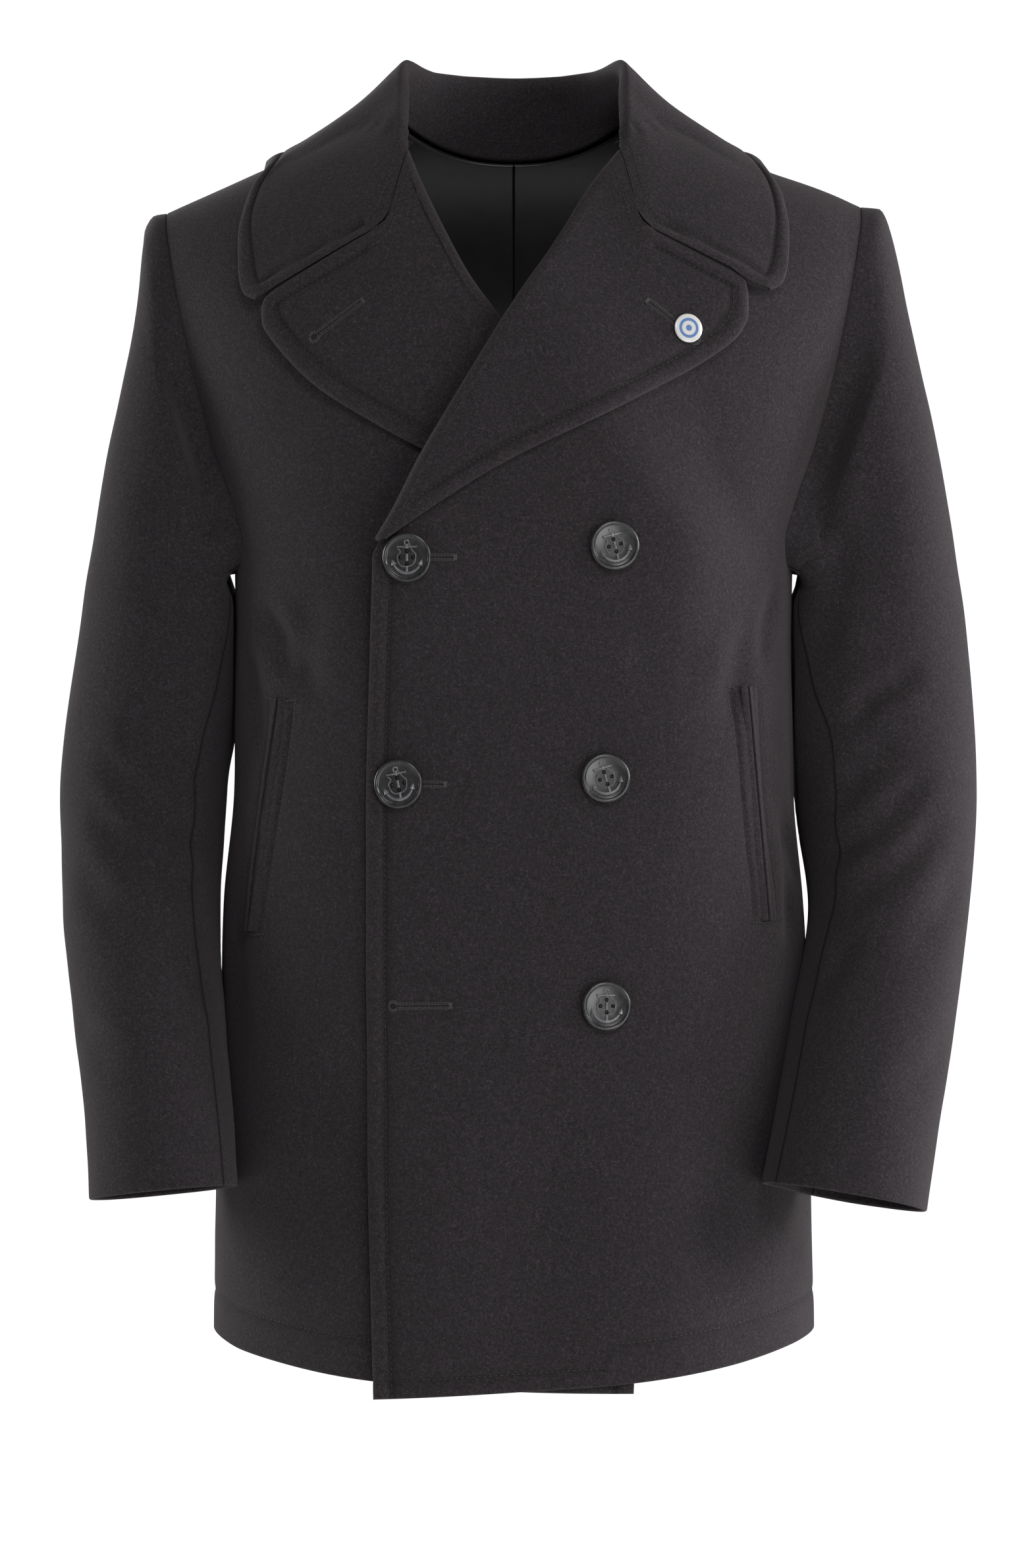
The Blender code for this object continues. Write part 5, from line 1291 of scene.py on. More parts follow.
def noise(nodes, links, scale, detail, roughness=0.5):
    """Noise of one scale over the piece itself."""
    place, made = nodes.new("ShaderNodeTexCoord"), nodes.new("ShaderNodeTexNoise")
    made.inputs["Scale"].default_value = scale
    made.inputs["Detail"].default_value = detail
    made.inputs["Roughness"].default_value = roughness
    links.new(place.outputs["Object"], made.inputs["Vector"])
    return made.outputs["Fac"]


def ramp(nodes, links, value, stops):
    made = nodes.new("ShaderNodeValToRGB")
    while len(made.color_ramp.elements) < len(stops):
        made.color_ramp.elements.new(0.5)
    for stop, (at, colour) in zip(made.color_ramp.elements, stops):
        stop.position, stop.color = at, (*colour, 1)
    links.new(value, made.inputs[0])
    return made.outputs[0]


def bumps(nodes, links, value, strength, distance):
    made = nodes.new("ShaderNodeBump")
    made.inputs["Strength"].default_value = strength
    made.inputs["Distance"].default_value = distance
    links.new(value, made.inputs["Height"])
    links.new(made.outputs[0], nodes["Principled BSDF"].inputs["Normal"])


def summed(nodes, links, first, second, share):
    """The first value, or nothing, and a share of the second."""
    made = nodes.new("ShaderNodeMath")
    made.operation = "MULTIPLY_ADD"
    made.inputs[1].default_value = share
    made.inputs[2].default_value = 0.0
    links.new(second, made.inputs[0])
    if first:
        links.new(first, made.inputs[2])
    return made.outputs[0]


def wool_melton():
    """Brushed black wool: a dense felted face with lighter fibres in it and a soft nap, with painted shade
    darkening it in sewn grooves and along seams.
    """
    made, nodes, links = new_material("wool_melton")
    shader = nodes["Principled BSDF"]
    shader.inputs["Roughness"].default_value = 0.95
    shader.inputs["Specular IOR Level"].default_value = 0.10
    shader.inputs["Sheen Weight"].default_value = 0.06
    shader.inputs["Sheen Roughness"].default_value = 0.60
    shader.inputs["Sheen Tint"].default_value = (0.95, 0.86, 0.92, 1)
    felt = noise(nodes, links, 1500, 2, 0.65)
    fibres = noise(nodes, links, 560, 5, 0.75)
    wear = noise(nodes, links, 45, 3)
    grain = summed(nodes, links, summed(nodes, links, felt, fibres, 1.0), wear, 0.05)
    stops = ((0.36, (0.0062, 0.0053, 0.0060)), (0.52, (0.0180, 0.0152, 0.0172)),
             (0.60, (0.0300, 0.0258, 0.0290)), (0.72, (0.0640, 0.0575, 0.0620)))
    # The three noises add up to about one, so the halves of their sum spread over the stops.
    nap = ramp(nodes, links, summed(nodes, links, None, grain, 0.5), stops)
    # Painted shade: the groove and seam attribute mixes the colour towards a near-black one.
    painted_groove_shade, mix = nodes.new("ShaderNodeAttribute"), nodes.new("ShaderNodeMix")
    painted_groove_shade.attribute_name = "painted_groove_shade"
    mix.data_type = "RGBA"
    mix.inputs["B"].default_value = (0.0080, 0.0068, 0.0076, 1)
    links.new(painted_groove_shade.outputs["Fac"], mix.inputs["Factor"])
    links.new(nap, mix.inputs["A"])
    links.new(mix.outputs["Result"], shader.inputs["Base Color"])
    bumps(nodes, links, fibres, 0.6, 0.0007)
    return made


def satin_lining():
    """Smooth black lining with a fine twill."""
    made, nodes, links = new_material("satin_lining")
    shader = nodes["Principled BSDF"]
    shader.inputs["Roughness"].default_value = 0.42
    slubs = noise(nodes, links, 90, 3)
    stops = ((0.3, (0.008, 0.008, 0.009)), (0.7, (0.013, 0.013, 0.015)))
    links.new(ramp(nodes, links, slubs, stops), shader.inputs["Base Color"])
    place, twill = nodes.new("ShaderNodeTexCoord"), nodes.new("ShaderNodeTexWave")
    twill.inputs["Scale"].default_value = 420
    twill.inputs["Distortion"].default_value = 0.8
    twill.bands_direction = "DIAGONAL"
    links.new(place.outputs["Object"], twill.inputs["Vector"])
    bumps(nodes, links, twill.outputs["Fac"], 0.25, 0.0002)
    return made


def cast_plastic(name, dark, light):
    """Satin black button plastic, a little rubbed."""
    made, nodes, links = new_material(name)
    shader = nodes["Principled BSDF"]
    rub = noise(nodes, links, 240, 5)
    links.new(ramp(nodes, links, rub, ((0.35, dark), (0.7, light))), shader.inputs["Base Color"])
    spread = nodes.new("ShaderNodeMapRange")
    spread.inputs["To Min"].default_value = 0.20
    spread.inputs["To Max"].default_value = 0.34
    links.new(rub, spread.inputs["Value"])
    links.new(spread.outputs[0], shader.inputs["Roughness"])
    bumps(nodes, links, rub, 0.15, 0.0001)
    return made


def sewing_thread(name, dark, light, roughness):
    """Twisted thread: two shades and a fine bump."""
    made, nodes, links = new_material(name)
    shader = nodes["Principled BSDF"]
    shader.inputs["Roughness"].default_value = roughness
    strands = noise(nodes, links, 2400, 2)
    links.new(ramp(nodes, links, strands, ((0.35, dark), (0.65, light))), shader.inputs["Base Color"])
    bumps(nodes, links, strands, 0.4, 0.0002)
    return made


def glazed_enamel():
    """White enamel with a plain blue ring and dot fired into it."""
    made, nodes, links = new_material("glazed_enamel")
    shader = nodes["Principled BSDF"]
    shader.inputs["Roughness"].default_value = 0.16
    shader.inputs["Coat Weight"].default_value = 0.4
    disc, split = nodes.new("ShaderNodeUVMap"), nodes.new("ShaderNodeSeparateXYZ")
    disc.uv_map = "disc"
    links.new(disc.outputs[0], split.inputs[0])
    white, blue = (0.50, 0.50, 0.49), (0.09, 0.16, 0.34)
    # Shares of the radius: the dot, a white ground, the ring and a white rim, with soft borders.
    stops = ((0.0, blue), (0.20, blue), (0.23, white), (0.48, white),
             (0.51, blue), (0.68, blue), (0.71, white))
    links.new(ramp(nodes, links, split.outputs[0], stops), shader.inputs["Base Color"])
    bumps(nodes, links, noise(nodes, links, 160, 2), 0.05, 0.0003)
    return made


# ---- sewing laid on the finished cloth


def stitch_tree():
    """Geometry nodes that lay one stitch at each point, along its heading and flat on the cloth."""
    tree = bpy.data.node_groups.new("laid_stitches", "GeometryNodeTree")
    face = tree.interface
    face.new_socket("Geometry", in_out="INPUT", socket_type="NodeSocketGeometry")
    for name in ("Length", "Width", "Height"):
        face.new_socket(name, in_out="INPUT", socket_type="NodeSocketFloat")
    face.new_socket("Thread", in_out="INPUT", socket_type="NodeSocketMaterial")
    face.new_socket("Geometry", in_out="OUTPUT", socket_type="NodeSocketGeometry")
    nodes, links = tree.nodes, tree.links
    into, out = nodes.new("NodeGroupInput"), nodes.new("NodeGroupOutput")
    bead = nodes.new("GeometryNodeMeshUVSphere")
    bead.inputs["Segments"].default_value = 6
    bead.inputs["Rings"].default_value = 4
    bead.inputs["Radius"].default_value = 0.5
    size = nodes.new("ShaderNodeCombineXYZ")
    for axis, name in zip("XYZ", ("Length", "Width", "Height")):
        links.new(into.outputs[name], size.inputs[axis])
    turns = None
    for name, axis in (("up", "Z"), ("heading", "X")):
        read = nodes.new("GeometryNodeInputNamedAttribute")
        read.data_type = "FLOAT_VECTOR"
        read.inputs["Name"].default_value = name
        turn = nodes.new("FunctionNodeAlignRotationToVector")
        turn.axis = axis
        if turns:
            turn.pivot_axis = "Z"
            links.new(turns.outputs[0], turn.inputs["Rotation"])
        links.new(read.outputs["Attribute"], turn.inputs["Vector"])
        turns = turn
    lay = nodes.new("GeometryNodeInstanceOnPoints")
    links.new(into.outputs["Geometry"], lay.inputs["Points"])
    links.new(bead.outputs["Mesh"], lay.inputs["Instance"])
    links.new(turns.outputs[0], lay.inputs["Rotation"])
    links.new(size.outputs[0], lay.inputs["Scale"])
    real = nodes.new("GeometryNodeRealizeInstances")
    dress = nodes.new("GeometryNodeSetMaterial")
    links.new(lay.outputs["Instances"], real.inputs["Geometry"])
    links.new(real.outputs[0], dress.inputs["Geometry"])
    links.new(into.outputs["Thread"], dress.inputs["Material"])
    links.new(dress.outputs[0], out.inputs["Geometry"])
    return tree


def lay_stitches(name, points, heading, up, size, thread):
    """A piece made of one stitch at each point."""
    mesh = bpy.data.meshes.new(name)
    mesh.from_pydata(np.asarray(points).tolist(), [], [])
    for label, values in (("heading", heading), ("up", up)):
        field = mesh.attributes.new(label, "FLOAT_VECTOR", "POINT")
        field.data.foreach_set("vector", np.asarray(values, np.float32).ravel())
    carrier = linked(f"{name}_points", mesh)
    laid = carrier.modifiers.new("laid", "NODES")
    laid.node_group = stitches
    values = {**dict(zip(("Length", "Width", "Height"), size)), "Thread": thread}
    for item in stitches.interface.items_tree:
        if item.in_out == "INPUT" and item.name in values:
            laid[item.identifier] = values[item.name]
    seen = carrier.evaluated_get(bpy.context.evaluated_depsgraph_get())
    made_mesh = bpy.data.meshes.new_from_object(seen)
    bpy.data.objects.remove(carrier)
    made_mesh.shade_smooth()
    added(name, made_mesh)


def laid_on(piece, points, height):
    """Points moved on to a finished piece's skin, at a height over it, and the skin's normals."""
    moved, normals = np.empty_like(points), np.empty_like(points)
    for i, point in enumerate(points):
        spot, normal, _, _ = finished[piece]["search"].find_nearest(Vector(point))
        normals[i] = np.array(normal) * finished[piece]["sense"]
        moved[i] = np.array(spot) + normals[i] * height
    return moved, normals


def topstitch(piece, lines, name="topstitch"):
    """Even stitches along lines on a piece, which lie in the groove that they pull."""
    points, headings = [], []
    for line in lines:
        lengths = lengths_along(line)
        at = np.arange(STITCH_PITCH / 2, lengths[-1], STITCH_PITCH)
        before, here, after = (
            np.stack([np.interp(at + shift, lengths, line[:, k]) for k in range(3)], axis=-1)
            for shift in (-STITCH_PITCH / 3, 0, STITCH_PITCH / 3)
        )
        points.append(here)
        headings.append(after - before)
    spots, up = laid_on(piece, np.concatenate(points), 0.0001)
    headings = unit(np.concatenate(headings))
    lay_stitches(f"{piece}_{name}", spots, headings, up, (STITCH_LENGTH, THREAD, THREAD), black_thread)


def edge_lines(piece):
    """The lines sewn along a piece's free edge, one for each of its borders that is free. They
    meet where the edge turns a corner."""
    distances = finished[piece]["distances"]
    lines = []
    for border in BORDERS:
        past_edge = distances[border] - distances["edge"]
        if np.abs(past_edge).min() <= 0.0005:
            line = line_at(piece, border, STITCH_INSET, distances[border] <= distances["edge"] + 0.0004)
            if len(line) > 6:
                lines.append(line)
    return lines


def seen_points(seen, left, height, piece, off):
    """Points given as seen from the front, on a piece's skin, and the skin's normals there."""
    x, z = np.asarray(seen, float).T
    return laid_on(piece, posed(on_front(x, z, height, left), left), off)


def plate(name, rim, up, thickness, finish):
    """A thin closed plate with a given rim."""
    count = len(rim)
    points = np.concatenate([rim, rim - up * thickness])
    faces = [list(range(count)), list(range(2 * count - 1, count - 1, -1))]
    faces += [[k + count, (k + 1) % count + count, (k + 1) % count, k] for k in range(count)]
    mesh = bpy.data.meshes.new(name)
    mesh.from_pydata(points.tolist(), [], faces)
    solid = bmesh.new()
    solid.from_mesh(mesh)
    bmesh.ops.triangulate(solid, faces=solid.faces)
    bmesh.ops.recalc_face_normals(solid, faces=solid.faces)
    solid.to_mesh(mesh)
    solid.free()
    mesh.materials.append(finish)
    added(name, mesh)


PURL_LENGTH, PURL_PITCH, PURL_THREAD = 0.0019, 0.00088, 0.00055
SLOT, EYELET, TACK = 0.0015, 0.0022, 0.0060  # a buttonhole's slot width, eyelet radius and tack


def buttonhole(name, piece, left, height, eye, tack):
    """A keyhole buttonhole seen from the front: its slot, a near-black plate of painted shade, the purled
    edge round it and the tack that closes it."""
    eye, tack = np.array(eye), np.array(tack)
    length = np.linalg.norm(tack - eye)
    ahead = (tack - eye) / length
    aside = np.array([-ahead[1], ahead[0]])
    spots, headings = [], []
    for s in np.arange(EYELET, length - 0.0004, PURL_PITCH):
        for sense in (-1, 1):
            spots.append(eye + ahead * s + aside * sense * (SLOT / 2 + PURL_LENGTH / 2))
            headings.append(aside)
    for turn in np.radians(np.arange(38, 323, 13)):
        ray = ahead * np.cos(turn) + aside * np.sin(turn)
        spots.append(eye + ray * (EYELET + PURL_LENGTH / 2))
        headings.append(ray)
    spots, headings = np.array(spots), np.array(headings)

    def laid(part, spots, headings, size, off):
        place, up = seen_points(spots, left, height, piece, off)
        far, _ = seen_points(spots + headings * 0.001, left, height, piece, off)
        lay_stitches(f"{name}_{part}", place, far - place, up, size, grey_thread)

    laid("purl", spots, headings, (PURL_LENGTH, PURL_THREAD, PURL_THREAD), 0.00022)
    knots = spots - headings * (PURL_LENGTH / 2) * np.sign((headings * (spots - eye)).sum(1))[:, None]
    laid("knots", knots, headings, (0.0008, 0.0008, 0.0007), 0.00030)
    bars = np.arange(-2, 3)[:, None] * 0.00042
    laid("tack", tack + ahead * bars, np.repeat(aside[None], 5, axis=0), (TACK, 0.0005, 0.0006), 0.00034)
    around = np.radians(np.linspace(18, 342, 25))
    rim = [eye + (ahead * np.cos(a) + aside * np.sin(a)) * (EYELET - 0.0002) for a in around]
    rim += [tack - ahead * 0.0012 - aside * SLOT / 2, tack - ahead * 0.0012 + aside * SLOT / 2]
    rim, up = seen_points(rim, left, height, piece, 0.00016)
    # The slot is a thin near-black plate: painted shade in the opening.
    plate(f"{name}_slot", rim, up, 0.0009, shade)


POCKET_ROW = 0.93  # where a pocket's sewn rows lie, as a share of their inset
POCKET_TACK = (0.0026, 0.0006, 0.0006)  # one of its stitches


def pocket_sewing(left):
    """The rows sewn each side of a pocket's slit, and the tacks across its ends."""
    front = f"front_{SIDE[left]}"
    top, bottom = (np.array(end) for end in (LEFT_POCKET if left else RIGHT_POCKET))
    down = unit(bottom - top)
    over = np.array([-down[1], down[0]])
    rows = []
    for offset in (-POCKET_INSET, POCKET_INSET):
        row = top + (bottom - top) * np.linspace(0, 1, 60)[:, None] + over * offset * POCKET_ROW
        rows.append(seen_points(row, left, 0.0, front, 0.0)[0])
    topstitch(front, rows, "pocket_stitch")
    width = np.linspace(-POCKET_INSET, POCKET_INSET, 14)[:, None]
    bow = (0.0016 * np.sin(np.linspace(0, pi, 14)))[:, None]
    for place, end in (("top", top), ("bottom", bottom)):
        row = end + over * width * POCKET_ROW + down * bow
        points, up = seen_points(row, left, 0.0, front, 0.0006)
        lean, _ = seen_points(row + (over * 0.8 + down) * 0.001, left, 0.0, front, 0.0006)
        name = f"pocket_tack_{place}_{SIDE[left]}"
        lay_stitches(name, points, lean - points, up, POCKET_TACK, grey_thread)


BREAK_HEIGHT = -0.296  # the front's edge is sewn below it, where the lapel doesn't turn
HEM_STEP = (-0.074, 0.057, 0.058)  # x where the left hem's low line starts and ends, and its high one starts


def sewing():
    """Every sewn line, tack and buttonhole."""
    for left, side in SIDE.items():
        front, back, leaf = f"front_{side}", f"back_{side}", f"lapel_{side}"
        edge = line_at(front, "first_column", STITCH_INSET)
        lines = [edge[edge[:, 2] < BREAK_HEIGHT]]
        high = line_at(front, "first_row", HIGH_HEM_INSET)
        if left:
            low = line_at(front, "first_row", HEM_INSET)
            low_start, low_end, high_start = HEM_STEP
            lines.append(low[(low[:, 0] < low_end) & (low[:, 0] > low_start)])
            high = high[high[:, 0] > high_start]
        topstitch(front, [*lines, high])
        topstitch(back, [line_at(back, "first_row", HIGH_HEM_INSET)])
        topstitch(leaf, edge_lines(leaf))
        pocket_sewing(left)
    topstitch("collar", edge_lines("collar"))
    for name, (eye, tack) in FRONT_BUTTONHOLES.items():
        buttonhole(name, "front_left", True, 0.0, eye, tack)
    for side, (eye, tack) in LAPEL_BUTTONHOLES.items():
        buttonhole(f"buttonhole_lapel_{side}", f"lapel_{side}", side == "left", LEAF_TOP, eye, tack)


# ---- buttons and pin


def facing_matrix(place, height, left, tilt=0.0):
    """Where a flat piece sits over a front, its face along the cloth's normal."""
    x, z = place
    step = 0.008
    nearby = ((-step, 0), (step, 0), (0, -step), (0, step))
    west, east, below, above = (on_front(x + dx, z + dz, 0.0, left) for dx, dz in nearby)
    normal = Vector(np.cross(east - west, above - below)).normalized()
    right = Vector((0, 0, 1)).cross(normal).normalized()
    up = normal.cross(right)
    facing = Matrix((right, up, normal)).transposed().to_4x4()
    moved = Matrix.Translation(Vector(on_front(x, z, height, left)))
    return moved @ facing @ Matrix.Rotation(np.radians(tilt), 4, "Z")


def mesh_of(shape, name):
    """A finished bmesh as a mesh, its faces turned outwards."""
    bmesh.ops.recalc_face_normals(shape, faces=shape.faces)
    mesh = bpy.data.meshes.new(name)
    shape.to_mesh(mesh)
    shape.free()
    return mesh


def turned(profile, segments):
    """A round closed mesh made by turning a half profile of (radius, height), in millimetres."""
    shape = bmesh.new()
    rings = []
    for radius, height in np.array(profile) / 1000:
        if radius == 0:
            rings.append([shape.verts.new((0, 0, height))])
        else:
            turns = np.arange(segments) * 2 * pi / segments
            rings.append([shape.verts.new((radius * np.cos(a), radius * np.sin(a), height)) for a in turns])
    for first, second in zip(rings, rings[1:]):
        for i in range(segments):
            j = (i + 1) % segments
            corners = [first[i % len(first)], first[j % len(first)]]
            corners += [second[j % len(second)], second[i % len(second)]]
            shape.faces.new(list(dict.fromkeys(corners)))
    return mesh_of(shape, "turned")


def rod(shape, line, radii, sides=10):
    """A round rod with closed ends along a line, added to a bmesh, in millimetres."""
    line, radii = np.array(line, float) / 1000, np.broadcast_to(radii, len(line)) / 1000
    heading = unit(np.gradient(line, axis=0))
    rings = []
    for place, ahead, radius in zip(line, heading, radii):
        aside = np.cross(ahead, (0.0, 0.0, 1.0))
        if np.linalg.norm(aside) < 1e-6:
            aside = np.array([1.0, 0.0, 0.0])
        aside = unit(aside)
        over = np.cross(aside, ahead)
        turns = np.arange(sides) * 2 * pi / sides
        rim = [place + radius * (aside * np.cos(a) + over * np.sin(a)) for a in turns]
        rings.append([shape.verts.new(point) for point in rim])
    for first, second in zip(rings, rings[1:]):
        for i in range(sides):
            j = (i + 1) % sides
            shape.faces.new((first[i], first[j], second[j], second[i]))
    shape.faces.new(rings[0][::-1])
    shape.faces.new(rings[-1])


def arc(centre, radius, start, end, count, height):
    turns = np.radians(np.linspace(start, end, count))
    x, y = centre[0] + radius * np.cos(turns), centre[1] + radius * np.sin(turns)
    return np.stack([x, y, np.full(count, height)], axis=-1)


# Half the button's turned profile as (radius, height): its back, its round rim and its face.
BUTTON_PROFILE = ((0, 0), (12.4, 0), (13.8, 0.25), (14.7, 0.9), (15.0, 1.7), (14.85, 2.5), (14.35, 3.05),
                  (13.8, 3.2), (13.2, 3.1), (12.8, 2.7), (12.5, 2.25), (12.0, 2.05), (6.0, 2.0), (0, 2.0))
FIELD = 2.05  # height of the button's face inside its rim
HOLE_RADIUS, HOLE_OFFSET = 1.2, 3.8
BUTTON_LIFT = 0.0014  # of the button's back over the cloth, in metres as are the pin's two
PIN_LIFT, PIN_RADIUS = 0.0030, 0.009
SHARP = 0.7  # the least angle that is an edge on a button


def anchor_relief():
    """A plain anchor with a rope round it, standing off the button's face."""
    shape = bmesh.new()
    low = FIELD + 0.05
    rod(shape, arc((0, 9.0), 1.45, -90, 265, 21, low), 0.42, 8)
    for run in ((8.0, 5.3), (2.2, -2.2), (-5.3, -9.6)):
        line = [(0, y, low) for y in np.linspace(*run, 5)]
        rod(shape, line, 0.85)
    stock = np.linspace(-5.6, 5.6, 13)
    rod(shape, [(x, 6.5, low + 0.1) for x in stock], 0.78 - 0.05 * np.abs(stock))
    for x in (-5.8, 5.8):
        rod(shape, [(x - 0.5, 6.5, low), (x, 6.5, low), (x + 0.5, 6.5, low)], (0.3, 1.0, 0.3), 8)
    arms = arc((0, -0.6), 8.9, 203, 337, 25, low)
    rod(shape, arms, 1.05 - 0.5 * np.abs(np.linspace(-1, 1, 25)) ** 2)
    for sense in (-1, 1):
        # The fluke: a pointed blade across the arm's tip.
        tip = np.array([sense * 9.3, -1.2, low])
        base = np.array([sense * 8.0, -4.6, low])
        rod(shape, [base, base * 0.5 + tip * 0.5, tip], (1.9, 1.25, 0.12), 8)
    # The rope: beads from the ring past the stock, round the shank's foot and up the other side.
    route = ((1.5, 8.4), (3.4, 4.4), (5.6, 1.6), (5.0, -2.4), (1.8, -5.2),
             (-2.2, -5.6), (-5.2, -3.0), (-5.9, 0.6), (-3.9, 3.4), (-5.2, 5.2))
    route = along(route, np.linspace(0, 1, 44))
    for x, y in route:
        bmesh.ops.create_icosphere(shape, subdivisions=1, radius=0.00052,
                                   matrix=Matrix.Translation((x / 1000, y / 1000, (low + 0.15) / 1000)))
    return shape


def button_mesh():
    """The button: a turned blank with a rim, four holes through it, the relief on its face in a lighter
    plastic as a painted highlight, and its thread in the holes and behind it."""
    blank = linked("blank", turned(BUTTON_PROFILE, 64))
    hole_profile = ((0, -2), (HOLE_RADIUS, -2), (HOLE_RADIUS, 6), (0, 6))
    cutters = []
    for angle in pi / 2 * np.arange(4):
        cutter = linked("cutter", turned(hole_profile, 20))
        cutter.location = (HOLE_OFFSET / 1000 * np.cos(angle), HOLE_OFFSET / 1000 * np.sin(angle), 0)
        hole = blank.modifiers.new("hole", "BOOLEAN")
        hole.object, hole.operation = cutter, "DIFFERENCE"
        cutters.append(cutter)
    seen = blank.evaluated_get(bpy.context.evaluated_depsgraph_get())
    shape = bmesh.new()
    shape.from_mesh(bpy.data.meshes.new_from_object(seen))
    blank_faces = len(shape.faces)
    shape.from_mesh(mesh_of(anchor_relief(), "relief"))
    plastic_faces = len(shape.faces)
    rod(shape, [(0, 0, -1.6), (0, 0, 0.3)], 2.3, 16)
    for angle in pi / 2 * np.arange(4):
        x, y = HOLE_OFFSET * np.cos(angle), HOLE_OFFSET * np.sin(angle)
        rod(shape, [(x, y, 0.1), (x, y, 1.2), (x * 0.92, y * 0.92, 1.75)], (0.85, 0.85, 0.5), 10)
    shape.faces.ensure_lookup_table()
    for face in shape.faces[plastic_faces:]:
        face.material_index = 1
    # The relief takes the lighter plastic: a painted highlight on the anchor.
    for face in shape.faces[blank_faces:plastic_faces]:
        face.material_index = 2
    bmesh.ops.recalc_face_normals(shape, faces=shape.faces[plastic_faces:])
    mesh = bpy.data.meshes.new("anchor_button")
    shape.to_mesh(mesh)
    shape.free()
    for old in (blank, *cutters):
        bpy.data.objects.remove(old)
    for finish in (plastic, black_thread, relief_painted_highlight):
        mesh.materials.append(finish)
    mesh.shade_smooth()
    mesh.set_sharp_from_angle(angle=SHARP)
    return mesh


def buttons():
    """Each button that shows, turned as it is sewn on."""
    pattern = button_mesh()
    for name, place in BUTTONS.items():
        mesh = pattern.copy()
        mesh.transform(facing_matrix(place, BUTTON_LIFT, True, BUTTON_TILT[name]))
        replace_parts(added(f"{name}_moulded", mesh), name)


def lapel_pin():
    """A domed enamel disc on a short post."""
    profile = ((0, 0), (8.5, 0), (8.9, 0.3), (9.0, 0.8), (8.8, 1.25),
               (8.3, 1.45), (5.5, 1.55), (2.5, 1.6), (0, 1.6))
    mesh = turned(profile, 72)
    disc = mesh.uv_layers.new(name="disc")
    for loop in mesh.loops:
        place = mesh.vertices[loop.vertex_index].co
        disc.data[loop.index].uv = (np.hypot(place.x, place.y) / PIN_RADIUS, 0.5)
    mesh.materials.append(enamel)
    mesh.shade_smooth()
    matrix = facing_matrix(PIN_PLACE, LEAF_TOP + PIN_LIFT, True)
    mesh.transform(matrix)
    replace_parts(added("lapel_pin_enamel", mesh), "lapel_pin")
    shape = bmesh.new()
    rod(shape, [(0, 0, -4.5), (0, 0, 0.4)], 1.0, 12)
    post = mesh_of(shape, "post")
    post.materials.append(plastic)
    post.transform(matrix)
    added("lapel_pin_post", post)


# ---- the stage


CAMERA_PLACE = (-0.0017, -3.0, -0.426)
SENSOR_HEIGHT, LENS = 36, 108.04  # millimetres
FLOOR_HEIGHT, FLOOR_RADIUS = -1.42, 2.8
FLOOR_GREY = 0.88
COAT_MIDDLE = (0, 0, -0.42)
GLOW, BACKDROP = 0.18, 1.05  # strength of the white surroundings as light, and as the camera sees them
LIGHTS = {  # place, size and power
    "key": ((2.8, -1.2, 0.7), 1.0, 36),
    "front": ((0.5, -3.4, 1.7), 1.2, 56),
    "low": ((1.6, -2.6, -0.9), 1.6, 34),
    "right_side": ((-2.8, 0.7, 0.1), 1.5, 70),
    "left_side": ((3.0, 0.7, 0.1), 1.4, 100),
    "back": ((-1.2, 3.0, 1.2), 2.0, 70),
}


def place_camera():
    """The camera stands level, 3 m before the coat."""
    camera = linked("camera", bpy.data.cameras.new("camera"))
    camera.location = CAMERA_PLACE
    camera.rotation_euler = (pi / 2, 0, 0)
    camera.data.sensor_fit = "VERTICAL"
    camera.data.sensor_height = SENSOR_HEIGHT
    camera.data.lens = LENS
    bpy.context.scene.camera = camera


def lay_floor():
    bpy.ops.mesh.primitive_circle_add(vertices=96, radius=FLOOR_RADIUS, fill_type="NGON",
                                      location=(0, 0, FLOOR_HEIGHT))
    floor = bpy.context.object
    floor.name = "floor"
    paint, nodes, _ = new_material("floor_paint")
    nodes["Principled BSDF"].inputs["Base Color"].default_value = (FLOOR_GREY, FLOOR_GREY, FLOOR_GREY, 1)
    nodes["Principled BSDF"].inputs["Roughness"].default_value = 0.9
    floor.data.materials.append(paint)


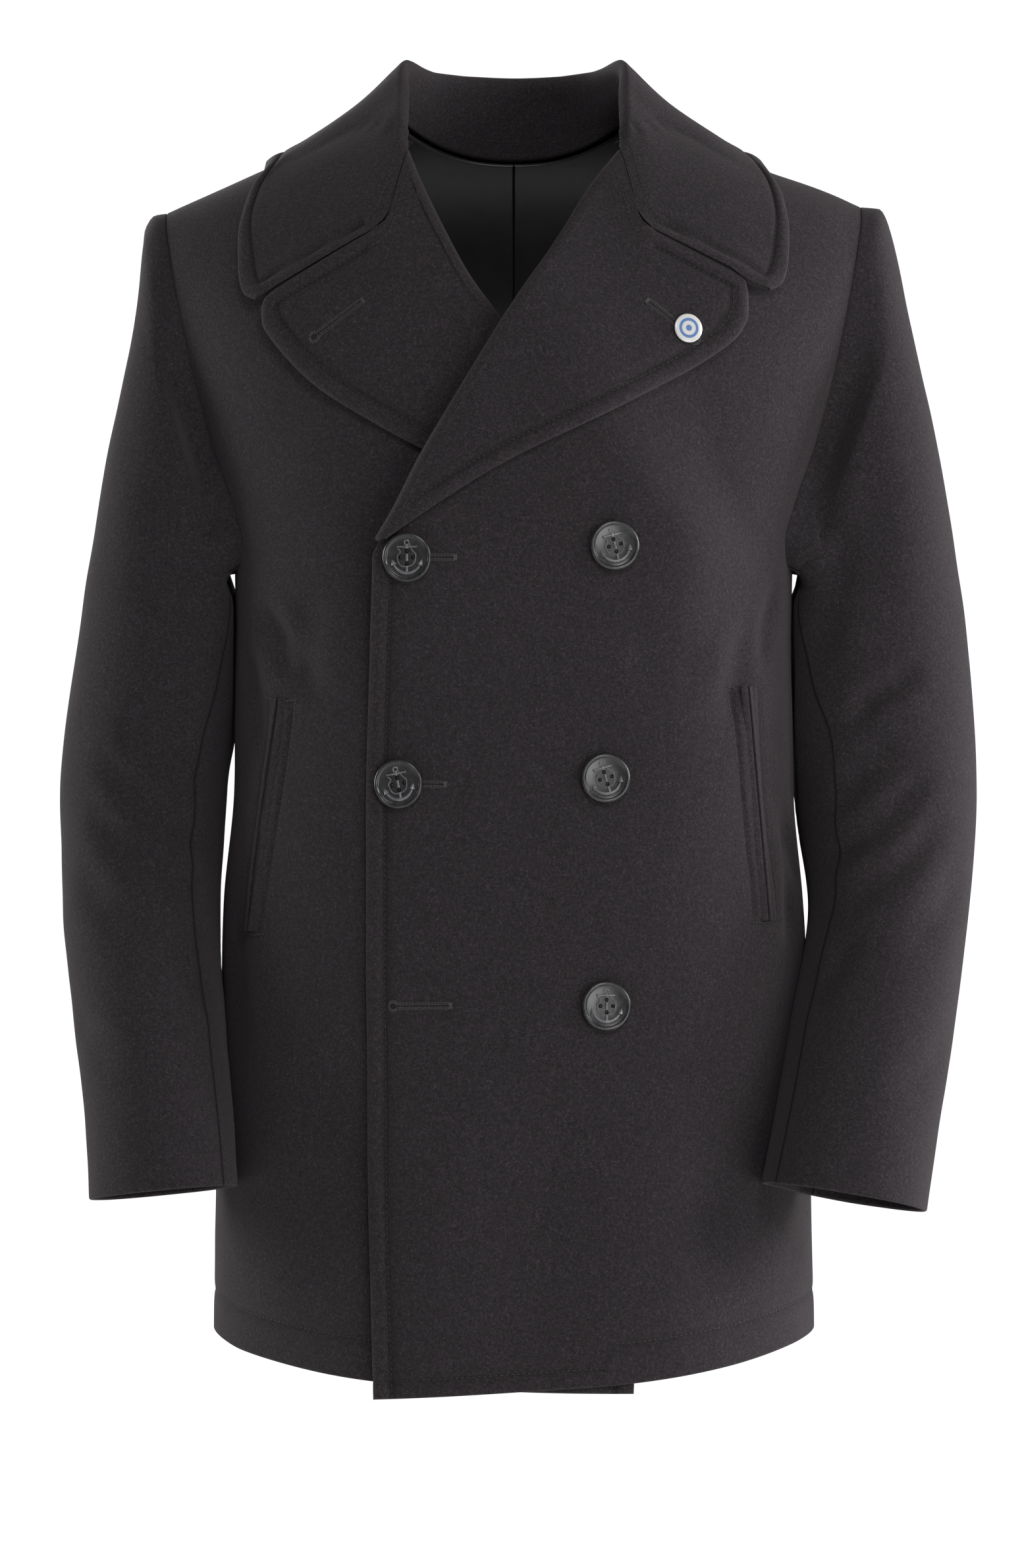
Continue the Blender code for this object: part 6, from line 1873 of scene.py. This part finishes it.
def surroundings():
    """White all round: bright where the camera sees it, and a faint light on the coat."""
    world = bpy.data.worlds.new("studio")
    bpy.context.scene.world = world
    world.use_nodes = True
    nodes, links = world.node_tree.nodes, world.node_tree.links
    glow, seen = nodes["Background"], nodes.new("ShaderNodeBackground")
    for background, strength in ((glow, GLOW), (seen, BACKDROP)):
        background.inputs["Color"].default_value = (1, 1, 1, 1)
        background.inputs["Strength"].default_value = strength
    path, mix = nodes.new("ShaderNodeLightPath"), nodes.new("ShaderNodeMixShader")
    links.new(path.outputs["Is Camera Ray"], mix.inputs[0])
    links.new(glow.outputs[0], mix.inputs[1])
    links.new(seen.outputs[0], mix.inputs[2])
    links.new(mix.outputs[0], nodes["World Output"].inputs["Surface"])


def hang_lights():
    """Round soft lights, all facing the coat's middle."""
    for name, (place, size, power) in LIGHTS.items():
        lamp = linked(name, bpy.data.lights.new(name, "AREA"))
        lamp.data.shape = "DISK"
        lamp.data.size = size
        lamp.data.energy = power
        lamp.location = place
        aim = Vector(COAT_MIDDLE) - Vector(place)
        lamp.rotation_euler = aim.to_track_quat("-Z", "Y").to_euler()


melton = wool_melton()
lining = satin_lining()
plastic = cast_plastic("cast_plastic", (0.014, 0.014, 0.015), (0.026, 0.026, 0.028))
# The anchor relief's lighter plastic: a painted highlight.
relief_painted_highlight = cast_plastic("relief_highlight_plastic", (0.070, 0.070, 0.074), (0.130, 0.130, 0.136))
enamel = glazed_enamel()
black_thread = sewing_thread("black_thread", (0.008, 0.007, 0.008), (0.026, 0.024, 0.025), 0.6)
grey_thread = sewing_thread("buttonhole_thread", (0.014, 0.012, 0.013), (0.052, 0.048, 0.051), 0.55)
# Near-black painted shade, for the pocketing in a slit and a buttonhole's slot.
shade = sewing_thread("inner_shade", (0.0015, 0.0015, 0.0015), (0.004, 0.004, 0.004), 0.95)
stitches = stitch_tree()
place_camera()
lay_floor()
surroundings()
hang_lights()
bpy.context.scene.view_settings.view_transform = "Standard"
for on_left in (True, False):
    front_panel(on_left)
    back_panel(on_left)
    lapel(on_left)
    sleeve(on_left)
    pocket(on_left)
collar()
sewing()
buttons()
lapel_pin()
for piece_name, (cut_width, cut_length, cut_area) in cut.items():
    print(f"cut {piece_name}: {cut_width:.3f} x {cut_length:.3f} m, {cut_area:.4f} m2")
